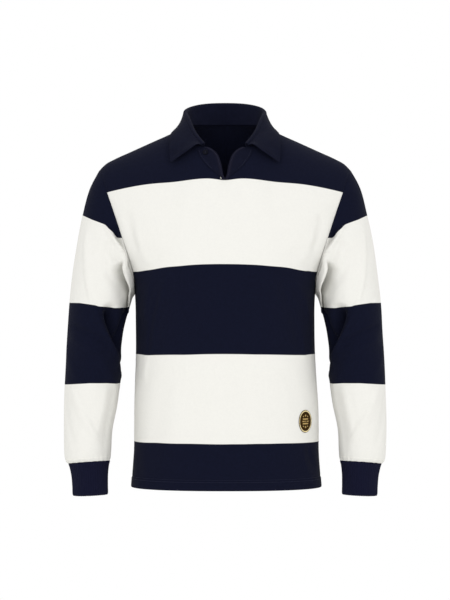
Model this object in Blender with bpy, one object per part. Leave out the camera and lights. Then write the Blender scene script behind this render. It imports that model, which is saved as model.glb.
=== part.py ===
"""A long-sleeved polo shirt with wide stripes, in the hollow form that it takes when it is worn.

Metres, +Z up. The front faces -Y and +X is the wearer's left. The origin is in the middle of the
neck opening, where the shoulder line would cross it. Sizes are written in millimetres, and every
panel is a function of two parameters, taken on a grid and given its thickness by wall_solid.
"""

import bpy
import numpy as np

MM = 0.001

# Cloth and seams
JERSEY = 2.0  # thickness of the heavy jersey
TWILL = 1.8  # the collar's two layers, pressed
STRIP = 1.5  # the strips that face the neck slit
SEAM = 0.3  # room between two pieces that are sewn together
ARMHOLE_ROOM = 0.5  # the same at the armhole, along X, where the two edges meet at an angle

# Heights of the body
HEM_Z, UNDERARM_Z, TIP_Z, NECK_POINT_Z = -712.0, -310.0, -71.0, 20.0
NECK_POINT_X, TIP_X = 76.0, 254.0
ROUNDNESS = 2.35  # exponent of the body's sections: 2 is an ellipse, more is squarer

# Sections of the body: height, half width, depth in front of the side seams, depth behind them,
# and how far the hem swings to the wearer's left
BODY = np.array([
    (-712, 192.8, 127, 122, 2.7),
    (-668, 189.2, 125, 118, 2.6),
    (-640, 187.4, 124, 116, 2.7),
    (-595, 187.2, 124, 113, 3.0),
    (-546, 186.4, 123, 110, 2.6),
    (-497, 184.0, 123, 108, 1.6),
    (-449, 181.8, 123, 106, 1.0),
    (-390, 181.2, 125, 109, 0.3),
    (-325, 182.6, 128, 116, 0.0),
    (-310, 184.0, 129, 118, 0.0),
    (-295, 188.0, 129, 119, 0.0),
    (-259, 205.0, 130, 122, 0.0),
    (-209, 232.0, 130, 126, 0.0),
    (-120, 272.0, 129, 127, 0.0),
    (-71, 300.0, 127, 124, 0.0),
    (60, 330.0, 124, 120, 0.0),
])

# The shoulder seam: distance from the middle, height. Inside the neck point it runs on, unseen
SHOULDER = np.array([
    (0, 59),
    (76, 20),
    (108, 3),
    (150, -16),
    (192, -35),
    (225, -50),
    (242, -59.5),
    (254, -71),
    (330, -130),
])

# The armhole seam: height, distance from the middle
ARMHOLE = np.array([
    (-310, 184.0),
    (-304, 183.6),
    (-295, 182.9),
    (-259, 190.7),
    (-209, 206.5),
    (-160, 222.5),
    (-120, 236.5),
    (-95, 245.5),
    (-71, 254.0),
])

# The front edge of the neck: half width of the slit at each height, then the neckline's height
SLIT = np.array([(-96, 0.4), (-88, 3.6), (-68, 7.2), (-48.6, 13.0)])
NECKLINE = np.array([(13, -48.6), (22, -37), (34, -30), (46, -29), (58, -22), (70, -3), (76, 20)])
BACK_NECK_Z = 24.0
FRONT_ROUNDS_FROM, BACK_ROUNDS_FROM = -280.0, -230.0  # heights where the chest and back curve in
FRONT_ROUND, BACK_ROUND = 2.0, 2.4  # exponents of those two curves
NECK_SHARE = 5 / 12  # share of a panel's columns that end on the neck edge
MIDDLE_EASE = 0.35  # rows are eased towards both ends in full on the armhole, and by this share in the middle
SHARP_ANGLE = 0.9  # radians: a wall's rim is shaded as an edge, and its folds are smooth

# Rings of the sleeve: outer edge x and z, inner edge x and z, half depth, how far forward its middle is
SLEEVE = np.array([
    (254.0, -71, 184.9, -309.5, 66, 0),
    (275.0, -112, 185.3, -315, 70, 0),
    (288.5, -164, 186.2, -322, 73, 1),
    (298.5, -212, 188.0, -330, 74, 2),
    (306.0, -258, 191.0, -341, 74, 3),
    (311.8, -305, 195.5, -356, 72, 4),
    (316.5, -352, 201.8, -378, 69, 5),
    (319.3, -400, 207.5, -408, 66, 6),
    (322.0, -450, 210.5, -451, 63, 8),
    (324.4, -500, 211.8, -499, 60, 11),
    (325.6, -548, 217.0, -547, 57, 14),
    (326.0, -596, 226.5, -595, 54, 18),
    (325.0, -640, 229.0, -639, 50, 21),
    (322.5, -658, 230.5, -656.5, 46, 22.5),
    (316.5, -667.5, 234.5, -665.5, 41.5, 23),
])
SLEEVE_ROUNDNESS = 2.1
CAP_ROWS = 4.5  # rows of the table over which the armhole's own outline turns into an ellipse
BODY_EDGE_FROM, BODY_EDGE_OVER = -0.2, 0.6  # cosine of the turn where the sleeve's edge turns to the body's

# Rings of the cuff: the same columns, from its seam with the sleeve to its mouth
CUFF = np.array([
    (315.7, -668.4, 235.3, -666.4, 41.0, 23),
    (312.6, -675, 236.0, -673.2, 40.4, 23.2),
    (310.0, -690, 236.2, -688.5, 39.4, 24),
    (308.8, -710, 235.8, -708.6, 38.8, 25),
    (308.2, -728.5, 235.2, -726.4, 38.4, 26),
])
CUFF_WALL = 2.4
RIBS, RIB_HEIGHT = 48, 0.9

# The collar at seven places from the middle of the back to its front end: place along the collar,
# place of its seam on the neck edge (0 middle of the back, 1 neck point, 2 front end),
# x, y, z of the roll at its top, x, y, z of the fall's outer edge, how far the fall bows out
COLLAR = np.array([
    (0.00, 0.0, 0.0, 60, 68.5, 0.0, 84, 10.0, 4.5),
    (0.20, 0.3, 45.0, 52, 65.5, 48.0, 74, 9.0, 4.0),
    (0.38, 0.58, 73.0, 31, 57.0, 84.0, 52, 8.0, 2.0),
    (0.52, 0.9, 81.5, 6, 47.5, 110.0, 4, 7.0, -1.0),
    (0.66, 1.1, 75.5, -22, 33.0, 113.0, -38, -3.0, 0.5),
    (0.83, 1.36, 62.5, -57, 4.0, 112.5, -67, -29.0, 3.0),
    (1.00, 2.0, 43.7, -82, -23.0, 107.5, -82, -57.5, 3.0),
])
COLLAR_END_X = 44.0
NECK_AXIS = np.array([0.0, -8.0, 0.0])
STAND_ROOM, STAND_INSET = 0.6, 2.2  # the stand starts this far above the neck edge, and inside it
ROLL_RADIUS, ROLL_RADIUS_AT_END = 3.2, 2.6
BOW_TILT = 0.9  # the fall bows out and up, by this much up for 1 out

# The strips beside the slit: x and z of the edge at the slit, x and z of the far edge
PLACKET = np.array([
    (0.6, -95.5, 3.0, -97.0),
    (3.9, -87.0, 13.0, -87.0),
    (7.4, -68.0, 34.0, -69.0),
    (13.2, -49.5, 48.0, -51.0),
    (22.2, -38.2, 52.5, -42.0),
    (34.0, -31.4, 54.5, -36.0),
])

BUTTON_X, BUTTON_Z, BUTTON_RADIUS, BUTTON_HEIGHT = -38.5, -42.0, 5.5, 2.6
BUTTON_PROFILE = ((0.92, 0.0), (1.0, 0.25), (1.0, 0.7), (0.86, 1.0), (0.66, 0.92), (0.5, 0.72))
BADGE_X, BADGE_Z, BADGE_HALF_WIDTH, BADGE_HALF_HEIGHT, BADGE_HEIGHT = 160.0, -577.0, 19.0, 22.0, 1.2
BADGE_SLOPE = 0.645  # the front turns away there, so a width along the cloth is shorter along X

FOLD_FADE = 0.15  # a fold fades out over this share of its length, before and after each end
SIDE_FADE, TOP_FADE = 25.0, 40.0  # folds of the body fade out this far from the sides and shoulders
SLEEVE_GIRTH = 360.0  # length round a sleeve that its folds are measured in
SLEEVE_FADE_ROWS = 1.5, 2.0  # folds of a sleeve fade out over these rows at its top and its end

# Largest folds of the front: x and z of its two ends, half width, height (below 0 it is a trough)
FRONT_FOLDS = np.array([
    (-148, -300, -158, -372, 15, 3.0),
    (-119, -300, -148, -440, 15, 3.0),
    (-132, -340, -150, -445, 13, -2.5),
    (112, -300, 150, -430, 15, -3.5),
    (140, -300, 172, -376, 15, 3.0),
    (168, -630, 184, -668, 13, -2.5),
    (-196, -175, -178, -235, 20, -3.0),
    (196, -175, 178, -235, 20, -3.0),
])
BACK_FOLDS = np.array([
    (-150, -290, -110, -430, 18, -3.5),
    (150, -290, 116, -410, 18, -3.5),
    (-60, -470, 40, -520, 22, -3.0),
    (-188, -180, -165, -250, 20, -3.0),
    (188, -180, 165, -250, 20, -3.0),
])
# Largest folds of a sleeve: turn from the outer edge (front is under 0.5 turn) and height of both
# ends, half width, height
SLEEVE_FOLDS = np.array([
    (0.27, -350, 0.45, -446, 13, -5.0),
    (0.24, -362, 0.40, -458, 13, 4.0),
    (0.10, -386, 0.27, -402, 13, 3.0),
    (0.12, -524, 0.27, -612, 13, 3.5),
    (0.20, -530, 0.33, -640, 13, -3.0),
    (0.14, -196, 0.24, -340, 15, 3.0),
    (0.38, -260, 0.46, -340, 14, -4.0),
    (0.62, -360, 0.88, -430, 15, -4.0),
    (0.58, -400, 0.80, -470, 14, 3.5),
    (0.64, -540, 0.84, -620, 14, -3.0),
])


def curve_through(table, at, column, key=0):
    """A smooth curve through one column of a table: cubic pieces whose slopes are the table's own."""
    keys, values = table[:, key], table[:, column]
    slopes = np.gradient(values, keys)
    at = np.clip(at, keys[0], keys[-1])
    row = np.clip(np.searchsorted(keys, at, side="right") - 1, 0, len(keys) - 2)
    span = keys[row + 1] - keys[row]
    t = (at - keys[row]) / span
    return (
        (1 + 2 * t) * (1 - t) ** 2 * values[row]
        + t * (1 - t) ** 2 * span * slopes[row]
        + t**2 * (3 - 2 * t) * values[row + 1]
        + t**2 * (t - 1) * span * slopes[row + 1]
    )


def numbered(table):
    """The table with its row numbers as a first column, for a curve that runs from row to row."""
    return np.column_stack([np.arange(len(table)), table])


def smooth_step(t):
    t = np.clip(t, 0, 1)
    return t * t * (3 - 2 * t)


def unit(vectors):
    return vectors / np.linalg.norm(vectors, axis=-1, keepdims=True)


def fold_height(folds, across, along, scale=1.0):
    """The sum of the folds at a point: each is a bell across its line that fades at both ends."""
    total = np.zeros(np.broadcast(across, along).shape)
    for x0, z0, x1, z1, half_width, height in folds:
        dx, dz = (x1 - x0) * scale, z1 - z0
        px, pz = (across - x0) * scale, along - z0
        length = np.hypot(dx, dz)
        t = (px * dx + pz * dz) / length**2
        off = (px * dz - pz * dx) / length
        near, far = (t + FOLD_FADE) / (2 * FOLD_FADE), (1 + FOLD_FADE - t) / (2 * FOLD_FADE)
        ends = smooth_step(near) * smooth_step(far)
        total = total + height * ends * np.exp(-((off / half_width) ** 2) * 2)
    return total


def shoulder_line(x):
    return curve_through(SHOULDER, np.abs(x), 1)


def back_neck_height(x):
    return BACK_NECK_Z + (NECK_POINT_Z - BACK_NECK_Z) * (x / NECK_POINT_X) ** 2


def body_depth(x, z, side):
    """How far the body stands from the side seams at (x, z), in front (-1) or behind (1)."""
    in_front = np.less(side, 0)
    half_width = curve_through(BODY, z, 1)
    full = np.where(in_front, curve_through(BODY, z, 2), curve_through(BODY, z, 3))
    start = np.where(in_front, FRONT_ROUNDS_FROM, BACK_ROUNDS_FROM)
    power = np.where(in_front, FRONT_ROUND, BACK_ROUND)
    rise = np.clip((z - start) / (shoulder_line(x) - start), 0, 1)
    rounding = np.sqrt(1 - rise**power)
    off_middle = np.abs(x - curve_through(BODY, z, 4))
    section = (1 - np.clip(off_middle / half_width, 0, 1) ** ROUNDNESS) ** (1 / ROUNDNESS)
    return full * rounding * section


def body_point(x, z, side):
    """The outer surface of the front or back over (x, z)."""
    x, z, side = np.broadcast_arrays(x, z, side)
    return np.stack([x, side * (body_depth(x, z, side) + SEAM / 2), z], axis=-1)


def body_normal(x, z, side=-1, step=0.5):
    """The direction straight out of the front or back over (x, z)."""
    along_x = body_point(x + step, z, side) - body_point(x - step, z, side)
    along_z = body_point(x, z + step, side) - body_point(x, z - step, side)
    return -np.reshape(side, np.shape(side) + (1,)) * unit(np.cross(along_x, along_z))


def panel_half(side, hand, across=12, lower=11, upper=12):
    """Half a body panel as a grid of points: rows run from the hem up, columns from the middle out.

    Below the underarm a row is an arc of the body's section. Above it, each row ends on the armhole
    seam, and the rows drift towards the outline of the neck and shoulder.
    """
    u = np.linspace(0, 1, across + 1)
    arc = np.sin(u * np.pi / 2) ** (2 / ROUNDNESS)
    low_z = np.linspace(HEM_Z, UNDERARM_Z, lower + 1)[:, None]
    low_x = curve_through(BODY, low_z, 1) * arc

    to_neck = np.clip(u / NECK_SHARE, 0, 1)
    if side < 0:
        neck_x = SLIT[-1, 1] + (NECK_POINT_X - SLIT[-1, 1]) * to_neck
        neck_z = curve_through(NECKLINE, neck_x, 1)
    else:
        neck_x = NECK_POINT_X * np.sin(to_neck * np.pi / 2)
        neck_z = back_neck_height(neck_x)
    to_tip = (u - NECK_SHARE) / (1 - NECK_SHARE)
    top_x = np.where(to_tip < 0, neck_x, NECK_POINT_X + (TIP_X - NECK_POINT_X) * to_tip)
    top_z = np.where(to_tip < 0, neck_z, shoulder_line(top_x))

    t = np.linspace(0, 1, upper + 1)[1:, None]
    eased = (1 - np.cos(np.pi * t)) / 2
    climb = t + (eased - t) * (MIDDLE_EASE + (1 - MIDDLE_EASE) * u)
    high_z = UNDERARM_Z + (top_z - UNDERARM_Z) * climb
    middle = np.zeros_like(t)
    if side < 0:
        middle_z = high_z[:, :1]
        middle = np.where(middle_z > SLIT[0, 0] + 1, curve_through(SLIT, middle_z, 1), 0)
    reach = curve_through(ARMHOLE, UNDERARM_Z + (TIP_Z - UNDERARM_Z) * eased, 1)
    share = arc + ((top_x - top_x[0]) / (TIP_X - top_x[0]) - arc) * climb
    high_x = middle + (reach - middle) * share

    x, z = np.concatenate([low_x, high_x]), np.concatenate([low_z + 0 * u, high_z])
    return body_point(hand * x + curve_through(BODY, z, 4), z, side)


def grid_triangles(ids, wrap=False):
    """Two triangles for each cell of a grid of vertex numbers, cut along the same diagonal."""
    if wrap:
        ids = np.concatenate([ids, ids[:, :1]], axis=1)
    a, b, c, d = ids[:-1, :-1], ids[:-1, 1:], ids[1:, 1:], ids[1:, :-1]
    return np.concatenate([np.stack(corners, -1).reshape(-1, 3) for corners in ((a, b, c), (a, c, d))])


def vertex_normals(points, triangles):
    corners = points[triangles]
    normals = np.cross(corners[:, 1] - corners[:, 0], corners[:, 2] - corners[:, 0])
    total = np.zeros_like(points)
    for corner in range(3):
        np.add.at(total, triangles[:, corner], normals)
    return unit(total)


def rim_triangles(triangles, count):
    """The strip that joins each open edge of the outer surface to the same edge of the inner one."""
    edges = np.concatenate([triangles[:, [i, (i + 1) % 3]] for i in range(3)])
    code, back = edges[:, 0] * count + edges[:, 1], edges[:, 1] * count + edges[:, 0]
    a, b = edges[~np.isin(code, back)].T
    return np.concatenate([
        np.stack([b, a, a + count], 1),
        np.stack([b, a + count, b + count], 1),
    ])


def welded(points, triangles):
    """Points that lie in the same place made one."""
    _, first, index = np.unique(np.round(points, 4), axis=0, return_index=True, return_inverse=True)
    triangles = index.reshape(-1)[triangles]
    whole = (triangles[:, 0] != triangles[:, 1]) & (triangles[:, 1] != triangles[:, 2])
    whole &= triangles[:, 2] != triangles[:, 0]
    return points[first], triangles[whole]


def wall_solid(name, outer, triangles, thickness, material, turn_normals=None, folds=None, lift=0.0):
    """A closed wall: the outer surface, the same surface moved in along its normals, and a rim.

    turn_normals changes the normals along a seam, so that the wall's edge there faces its
    neighbour evenly. folds gives each point's height above the plain surface.
    """
    outer, triangles = welded(outer, triangles)
    normals = vertex_normals(outer, triangles)
    if turn_normals is not None:
        normals = unit(turn_normals(outer, normals))
    height = lift if folds is None else lift + folds(outer)[:, None]
    outer = outer + normals * height
    inner = outer - normals * thickness
    count = len(outer)
    faces = np.concatenate([triangles, triangles[:, ::-1] + count, rim_triangles(triangles, count)])
    solid(name, np.concatenate([outer, inner]), faces, material)


def solid(name, points, faces, material):
    mesh = bpy.data.meshes.new(name)
    mesh.from_pydata((points * MM).tolist(), [], faces.tolist())
    mesh.shade_smooth()
    mesh.set_sharp_from_angle(angle=SHARP_ANGLE)
    mesh.materials.append(material)
    bpy.context.collection.objects.link(bpy.data.objects.new(name, mesh))


def cloth(name, colour, roughness):
    made = bpy.data.materials.new(name)
    made.use_nodes = True
    shader = made.node_tree.nodes["Principled BSDF"]
    shader.inputs["Base Color"].default_value = (*colour, 1)
    shader.inputs["Roughness"].default_value = roughness
    shader.inputs["Metallic"].default_value = 0
    return made


def on_line(points, line):
    """For each point: the nearest point of a line of grid points, and whether it is that point."""
    away = np.linalg.norm(points[:, None] - line[None], axis=-1)
    return away.argmin(axis=1), (away.min(axis=1) < 0.01)[:, None]


def square_to_y(points, normals):
    """The normals of a body panel, level in Y on its side seams and shoulder seams."""
    on_seam = np.abs(points[:, 1]) < SEAM / 2 + 0.01
    return normals * np.where(on_seam[:, None], (1, 0, 1), 1)


def away_from_edges(x, z):
    """1 in the middle of a panel, 0 along its seams, so that folds leave the seams alone."""
    reach = np.where(z < UNDERARM_Z, curve_through(BODY, z, 1), curve_through(ARMHOLE, z, 1))
    from_side, from_top = (reach - np.abs(x)) / SIDE_FADE, (shoulder_line(x) - z) / TOP_FADE
    return smooth_step(from_side) * smooth_step(from_top)


def body_panel(name, side, folds, material):
    halves, faces, start = [], [], 0
    for hand in (-1, 1):
        grid = panel_half(side, hand)
        ids = start + np.arange(grid.shape[0] * grid.shape[1]).reshape(grid.shape[:2])
        cells = grid_triangles(ids)
        faces.append(cells if side * hand > 0 else cells[:, ::-1])
        halves.append(grid.reshape(-1, 3))
        start += ids.size

    def heights(points):
        x, z = points[:, 0], points[:, 2]
        return fold_height(folds, x, z) * away_from_edges(x, z)

    points = np.concatenate(halves)
    wall_solid(name, points, np.concatenate(faces)[:, ::-1], JERSEY, material, square_to_y, heights)


def armhole_loop(turn):
    """The armhole seam as a closed loop: turn 0 at the shoulder, 0.25 in front, 0.5 at the underarm."""
    side = np.where(turn <= 0.5, -1, 1)
    z = UNDERARM_Z + (TIP_Z - UNDERARM_Z) * (1 + np.cos(2 * np.pi * turn)) / 2
    x = curve_through(ARMHOLE, z, 1)
    return np.stack([x, side * body_depth(x, z, side), z], axis=-1)


def armhole_normal(turn):
    """The direction out of the body's cloth along the armhole seam, level in Y at the shoulder."""
    side = np.where(turn <= 0.5, -1, 1)
    point = armhole_loop(turn)
    normal = body_normal(point[..., 0] - 1, point[..., 2] - 3, side)
    normal[..., 1] = np.where(np.abs(point[..., 1]) < 1, 0, normal[..., 1])
    return unit(normal)


def ring_point(table, row, turn, exponent):
    """A point on a sleeve or cuff: an ellipse, a little squared, between its outer and inner edge."""
    rows = numbered(table)
    outer_x, outer_z, inner_x, inner_z, depth, forward = (curve_through(rows, row, c) for c in range(1, 7))
    angle = 2 * np.pi * turn
    cos, sin = np.cos(angle), np.sin(angle)
    cos, sin = np.sign(cos) * np.abs(cos) ** (2 / exponent), np.sign(sin) * np.abs(sin) ** (2 / exponent)
    x = (outer_x + inner_x) / 2 + (outer_x - inner_x) / 2 * cos
    z = (outer_z + inner_z) / 2 + (outer_z - inner_z) / 2 * cos
    return np.stack([x, -forward - depth * sin + 0 * x, z], axis=-1)


def sleeve_point(row, turn):
    """The sleeve: rings of the table, pulled to the armhole's outline at the top."""
    ring = ring_point(SLEEVE, row, turn, SLEEVE_ROUNDNESS)
    start = ring_point(SLEEVE, 0 * row, turn, SLEEVE_ROUNDNESS)
    seam = armhole_loop(turn) + (ARMHOLE_ROOM, 0, 0)
    pull = (1 - smooth_step(row / CAP_ROWS))[..., None]
    return ring + (seam - start) * pull


def sleeve(hand, name, material, around=24, along=28):
    row = np.linspace(0, len(SLEEVE) - 1, along + 1)[:, None]
    turn = np.arange(around)[None, :] / around
    row, turn = np.broadcast_arrays(row, turn)
    grid = sleeve_point(row, turn)
    to_top, to_end = row / SLEEVE_FADE_ROWS[0], (len(SLEEVE) - 2 - row) / SLEEVE_FADE_ROWS[1]
    fade = smooth_step(to_top) * smooth_step(to_end)
    height = fold_height(SLEEVE_FOLDS, turn, grid[..., 2], scale=SLEEVE_GIRTH) * fade
    grid = grid * (hand, 1, 1)
    ids = np.arange(grid.shape[0] * around).reshape(-1, around)
    faces = grid_triangles(ids, wrap=True)
    faces = faces if hand > 0 else faces[:, ::-1]
    flat = grid.reshape(-1, 3)
    folded = flat + vertex_normals(flat, faces) * height.reshape(-1, 1)
    ring = armhole_normal(turn[0]) * (hand, 1, 1)
    share = smooth_step((np.cos(2 * np.pi * turn[0]) - BODY_EDGE_FROM) / BODY_EDGE_OVER)[:, None]

    def meet_body(points, normals):
        """At the top of the armhole the sleeve's edge stands like the body's, on either side."""
        index, is_ring = on_line(points, flat[:around])
        mixed = normals * (1 - share[index]) + ring[index] * share[index]
        return np.where(is_ring, mixed, normals)

    wall_solid(name, folded, faces, JERSEY, material, meet_body)


def cuff(hand, name, material):
    """A ribbed tube: crests and valleys on its outside, a plain inside with half the points."""
    rows = np.arange(len(CUFF))[:, None]
    turn = np.arange(2 * RIBS)[None, :] / (2 * RIBS)
    outer = ring_point(CUFF, rows + 0 * turn, turn + 0 * rows, 2.0)
    middle = (outer.max(axis=1, keepdims=True) + outer.min(axis=1, keepdims=True)) / 2
    outward = unit((outer - middle) * (1, 1, 0))
    crest = (np.arange(2 * RIBS) % 2)[None, :, None]
    inner = (outer - outward * CUFF_WALL)[:, ::2]
    outer = outer - outward * RIB_HEIGHT * (1 - crest)
    count = outer.shape[0] * outer.shape[1]
    outer_ids = np.arange(count).reshape(outer.shape[:2])
    inner_ids = count + np.arange(inner.shape[0] * inner.shape[1]).reshape(inner.shape[:2])
    faces = [grid_triangles(outer_ids, wrap=True), grid_triangles(inner_ids, wrap=True)[:, ::-1]]
    for end, flip in ((0, True), (-1, False)):
        ring, hole = outer_ids[end], inner_ids[end]
        valley, top, after = ring[::2], ring[1::2], np.roll(ring[::2], -1)
        strip = np.concatenate([
            np.stack([valley, top, hole], 1),
            np.stack([top, after, np.roll(hole, -1)], 1),
            np.stack([top, np.roll(hole, -1), hole], 1),
        ])
        faces.append(strip[:, ::-1] if flip else strip)
    faces = np.concatenate(faces)
    points = np.concatenate([outer.reshape(-1, 3), inner.reshape(-1, 3)]) * (hand, 1, 1)
    solid(name, points, faces if hand > 0 else faces[:, ::-1], material)


def neck_edge(place):
    """The neck edge of the panels on the wearer's left, from the middle of the back to the front."""
    on_back = place <= 1
    back_x = NECK_POINT_X * np.sin(np.clip(place, 0, 1) * np.pi / 2)
    front_x = NECK_POINT_X + (COLLAR_END_X - NECK_POINT_X) * np.clip(place - 1, 0, 1)
    x = np.where(on_back, back_x, front_x)
    z = np.where(on_back, back_neck_height(back_x), curve_through(NECKLINE, front_x, 1))
    y = np.where(on_back, body_depth(x, z, 1), -body_depth(x, z, -1))
    return np.stack([x, y, z], axis=-1)


def collar_lines(along):
    """Lines along the collar: its places, its seam, its roll, the edge of its fall, and its bow."""
    mirrored = COLLAR[:0:-1] * (-1, 1, -1, 1, 1, -1, 1, 1, 1)
    table = np.concatenate([mirrored, COLLAR])
    place = np.linspace(-1, 1, along + 1)
    hand = np.where(place < 0, -1, 1)[:, None] ** np.array([1, 0, 0])
    base = neck_edge(curve_through(COLLAR, np.abs(place), 1))
    inward = unit((NECK_AXIS - base) * (1, 1, 0))
    base = (base + inward * STAND_INSET + (0, 0, STAND_ROOM)) * hand
    roll, edge = (np.stack([curve_through(table, place, c) for c in columns], -1)
                  for columns in ((2, 3, 4), (5, 6, 7)))
    return place, base, roll, edge, curve_through(table, place, 8)[:, None]


def collar_grid(along=30, stand_steps=2, roll_steps=4, fall_steps=5):
    """The collar as a grid: each column goes up the stand, round the roll and down the fall."""
    place, base, roll, edge, bow = collar_lines(along)
    radius = (ROLL_RADIUS + (ROLL_RADIUS_AT_END - ROLL_RADIUS) * place**4)[:, None]
    up = unit(roll - base)
    out = edge - roll
    out = unit(out - up * (out * up).sum(-1, keepdims=True))
    centre = roll - up * radius
    stand_top, fall_top = centre - out * radius, centre + out * radius
    rows = [base + (stand_top - base) * t for t in np.linspace(0, 1, stand_steps + 1)[:-1]]
    for angle in np.linspace(0, np.pi, roll_steps + 1):
        rows.append(centre + radius * (up * np.sin(angle) - out * np.cos(angle)))
    crown = unit(out + up * BOW_TILT)
    for t in np.linspace(0, 1, fall_steps + 1)[1:]:
        rows.append(fall_top + (edge - fall_top) * t + crown * bow * np.sin(np.pi * t))
    return np.stack(rows)


def collar(name, material):
    grid = collar_grid()
    ids = np.arange(grid.shape[0] * grid.shape[1]).reshape(grid.shape[:2])

    def level_foot(points, normals):
        """The stand's foot is level, so that it stands clear of the neck edge all round."""
        return normals * np.where(on_line(points, grid[0])[1], (1, 1, 0), 1)

    wall_solid(name, grid.reshape(-1, 3), grid_triangles(ids)[:, ::-1], TWILL, material, level_foot)


def panel_patch(name, x, z, thickness, material, flip=False):
    """A piece that lies on the front: its points are the front's own, moved out."""
    height = fold_height(FRONT_FOLDS, x, z) * away_from_edges(x, z)
    grid = body_point(x, z, -1) + body_normal(x, z) * height[..., None]
    triangles = grid_triangles(np.arange(x.size).reshape(x.shape))
    triangles = triangles[:, ::-1] if flip else triangles
    wall_solid(name, grid.reshape(-1, 3), triangles, thickness, material, lift=SEAM + thickness)


def placket(hand, name, material, along=12, across=3):
    """One facing strip: it follows the slit's edge and widens towards the neck."""
    rows = numbered(PLACKET)
    row = np.linspace(0, len(PLACKET) - 1, along + 1)[:, None]
    near_x, near_z, far_x, far_z = (curve_through(rows, row, c) for c in range(1, 5))
    t = np.linspace(0, 1, across + 1)
    x, z = near_x + (far_x - near_x) * t, near_z + (far_z - near_z) * t
    panel_patch(name, hand * x, z, STRIP, material, flip=hand < 0)


def badge(name, material, spokes=28, rings=3):
    """An oval patch near the hem, on the wearer's left."""
    angle = np.arange(spokes + 1)[None, :] / spokes * 2 * np.pi
    radius = np.linspace(0, 1, rings + 1)[:, None]
    x = BADGE_X + BADGE_HALF_WIDTH * BADGE_SLOPE * radius * np.cos(angle)
    z = BADGE_Z + BADGE_HALF_HEIGHT * radius * np.sin(angle)
    panel_patch(name, x, z, BADGE_HEIGHT, material, flip=True)


def button(name, material, around=20):
    """A turned disc with a raised rim, flat on the right strip."""
    x, z = np.array([BUTTON_X]), np.array([BUTTON_Z])
    axis = body_normal(x, z)[0]
    foot = body_point(x, z, -1)[0] + axis * (SEAM + STRIP + SEAM)
    across = unit(np.cross(axis, (0, 0, 1)))
    upward = np.cross(across, axis)
    angle = np.arange(around) / around * 2 * np.pi
    spoke = np.cos(angle)[:, None] * across + np.sin(angle)[:, None] * upward
    rings = [foot + axis * BUTTON_HEIGHT * h + spoke * BUTTON_RADIUS * r for r, h in BUTTON_PROFILE]
    ends = [foot + axis * BUTTON_HEIGHT * BUTTON_PROFILE[i][1] for i in (0, -1)]
    points = np.concatenate([*rings, np.array(ends)])
    ids = np.arange(around * len(rings)).reshape(len(rings), around)
    caps = [
        np.stack([ids[end], np.roll(ids[end], turn), np.full(around, points.shape[0] - 2 + i)], 1)
        for i, (end, turn) in enumerate(((0, 1), (-1, -1)))
    ]
    faces = np.concatenate([grid_triangles(ids, wrap=True), *caps])
    solid(name, points, faces[:, ::-1], material)


def main():
    for old in list(bpy.data.objects):
        bpy.data.objects.remove(old)

    white = cloth("striped heavy jersey", (0.87, 0.86, 0.81), 0.9)
    navy = cloth("navy twill", (0.010, 0.012, 0.028), 0.85)
    rib = cloth("navy rib knit", (0.010, 0.012, 0.028), 0.95)
    rubber = cloth("rubber", (0.012, 0.013, 0.02), 0.5)
    gold = cloth("embroidered twill", (0.55, 0.38, 0.15), 0.7)

    body_panel("front", -1, FRONT_FOLDS, white)
    body_panel("back", 1, BACK_FOLDS, white)
    for hand, wearer in ((1, "left"), (-1, "right")):
        sleeve(hand, f"sleeve_{wearer}", white)
        cuff(hand, f"cuff_{wearer}", rib)
        placket(hand, f"placket_{wearer}", navy)

    collar("collar", navy)
    badge("badge", gold)
    button("button", rubber)


main()
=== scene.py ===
"""The looks of a long-sleeved polo shirt with wide stripes, filled out as when worn.

Every length is in millimetres until a mesh is made. The front faces -Y, +X is the wearer's left,
and the origin is in the middle of the neck opening.
"""

import bpy
import numpy as np
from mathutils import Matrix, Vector


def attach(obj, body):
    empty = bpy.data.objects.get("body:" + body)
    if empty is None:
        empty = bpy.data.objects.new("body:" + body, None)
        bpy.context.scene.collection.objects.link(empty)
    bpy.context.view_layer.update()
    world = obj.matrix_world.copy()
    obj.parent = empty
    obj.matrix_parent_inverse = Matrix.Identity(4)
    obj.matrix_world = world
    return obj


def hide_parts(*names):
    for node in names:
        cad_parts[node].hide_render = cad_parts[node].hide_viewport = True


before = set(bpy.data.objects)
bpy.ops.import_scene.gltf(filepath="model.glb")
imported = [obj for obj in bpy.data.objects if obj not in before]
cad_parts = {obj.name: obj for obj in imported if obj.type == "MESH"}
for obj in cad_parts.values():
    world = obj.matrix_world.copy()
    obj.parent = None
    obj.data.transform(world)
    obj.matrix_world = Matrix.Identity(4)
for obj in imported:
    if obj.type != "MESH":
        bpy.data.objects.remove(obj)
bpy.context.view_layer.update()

# The studio. A level camera stands 4.5 m in front of the shirt, over a pale floor at a wearer's
# feet, in a white surround. Two broad soft lamps stand in front, above the camera and on either
# side of it, and one hangs above and behind, so that folds show as soft greys.
MM = 0.001
CAMERA_AWAY, CAMERA_HEIGHT, LENS = 4.5, -0.335, 133.0
FLOOR_HEIGHT, FLOOR_RADIUS = -1.45, 3.2
SURROUND, SURROUND_LIGHT = 1.0, 1.1  # what the camera sees, and what lights the cloth
LAMPS = (  # name, place, width, power in watts
    ("key", (-1.7, -3.9, 1.0), 2.0, 36.0),
    ("fill", (1.9, -3.8, 0.9), 2.0, 32.0),
    ("top", (0.2, 1.6, 2.4), 2.0, 30.0),
)
LAMP_AIM = (0.0, 0.0, -0.3)


def linear(hex_colour):
    """An sRGB hex colour as linear red, green, blue and 1."""
    parts = np.array([int(hex_colour[i:i + 2], 16) for i in (1, 3, 5)]) / 255
    low, high = parts / 12.92, ((parts + 0.055) / 1.055) ** 2.4
    return (*np.where(parts <= 0.04045, low, high).tolist(), 1.0)


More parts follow.
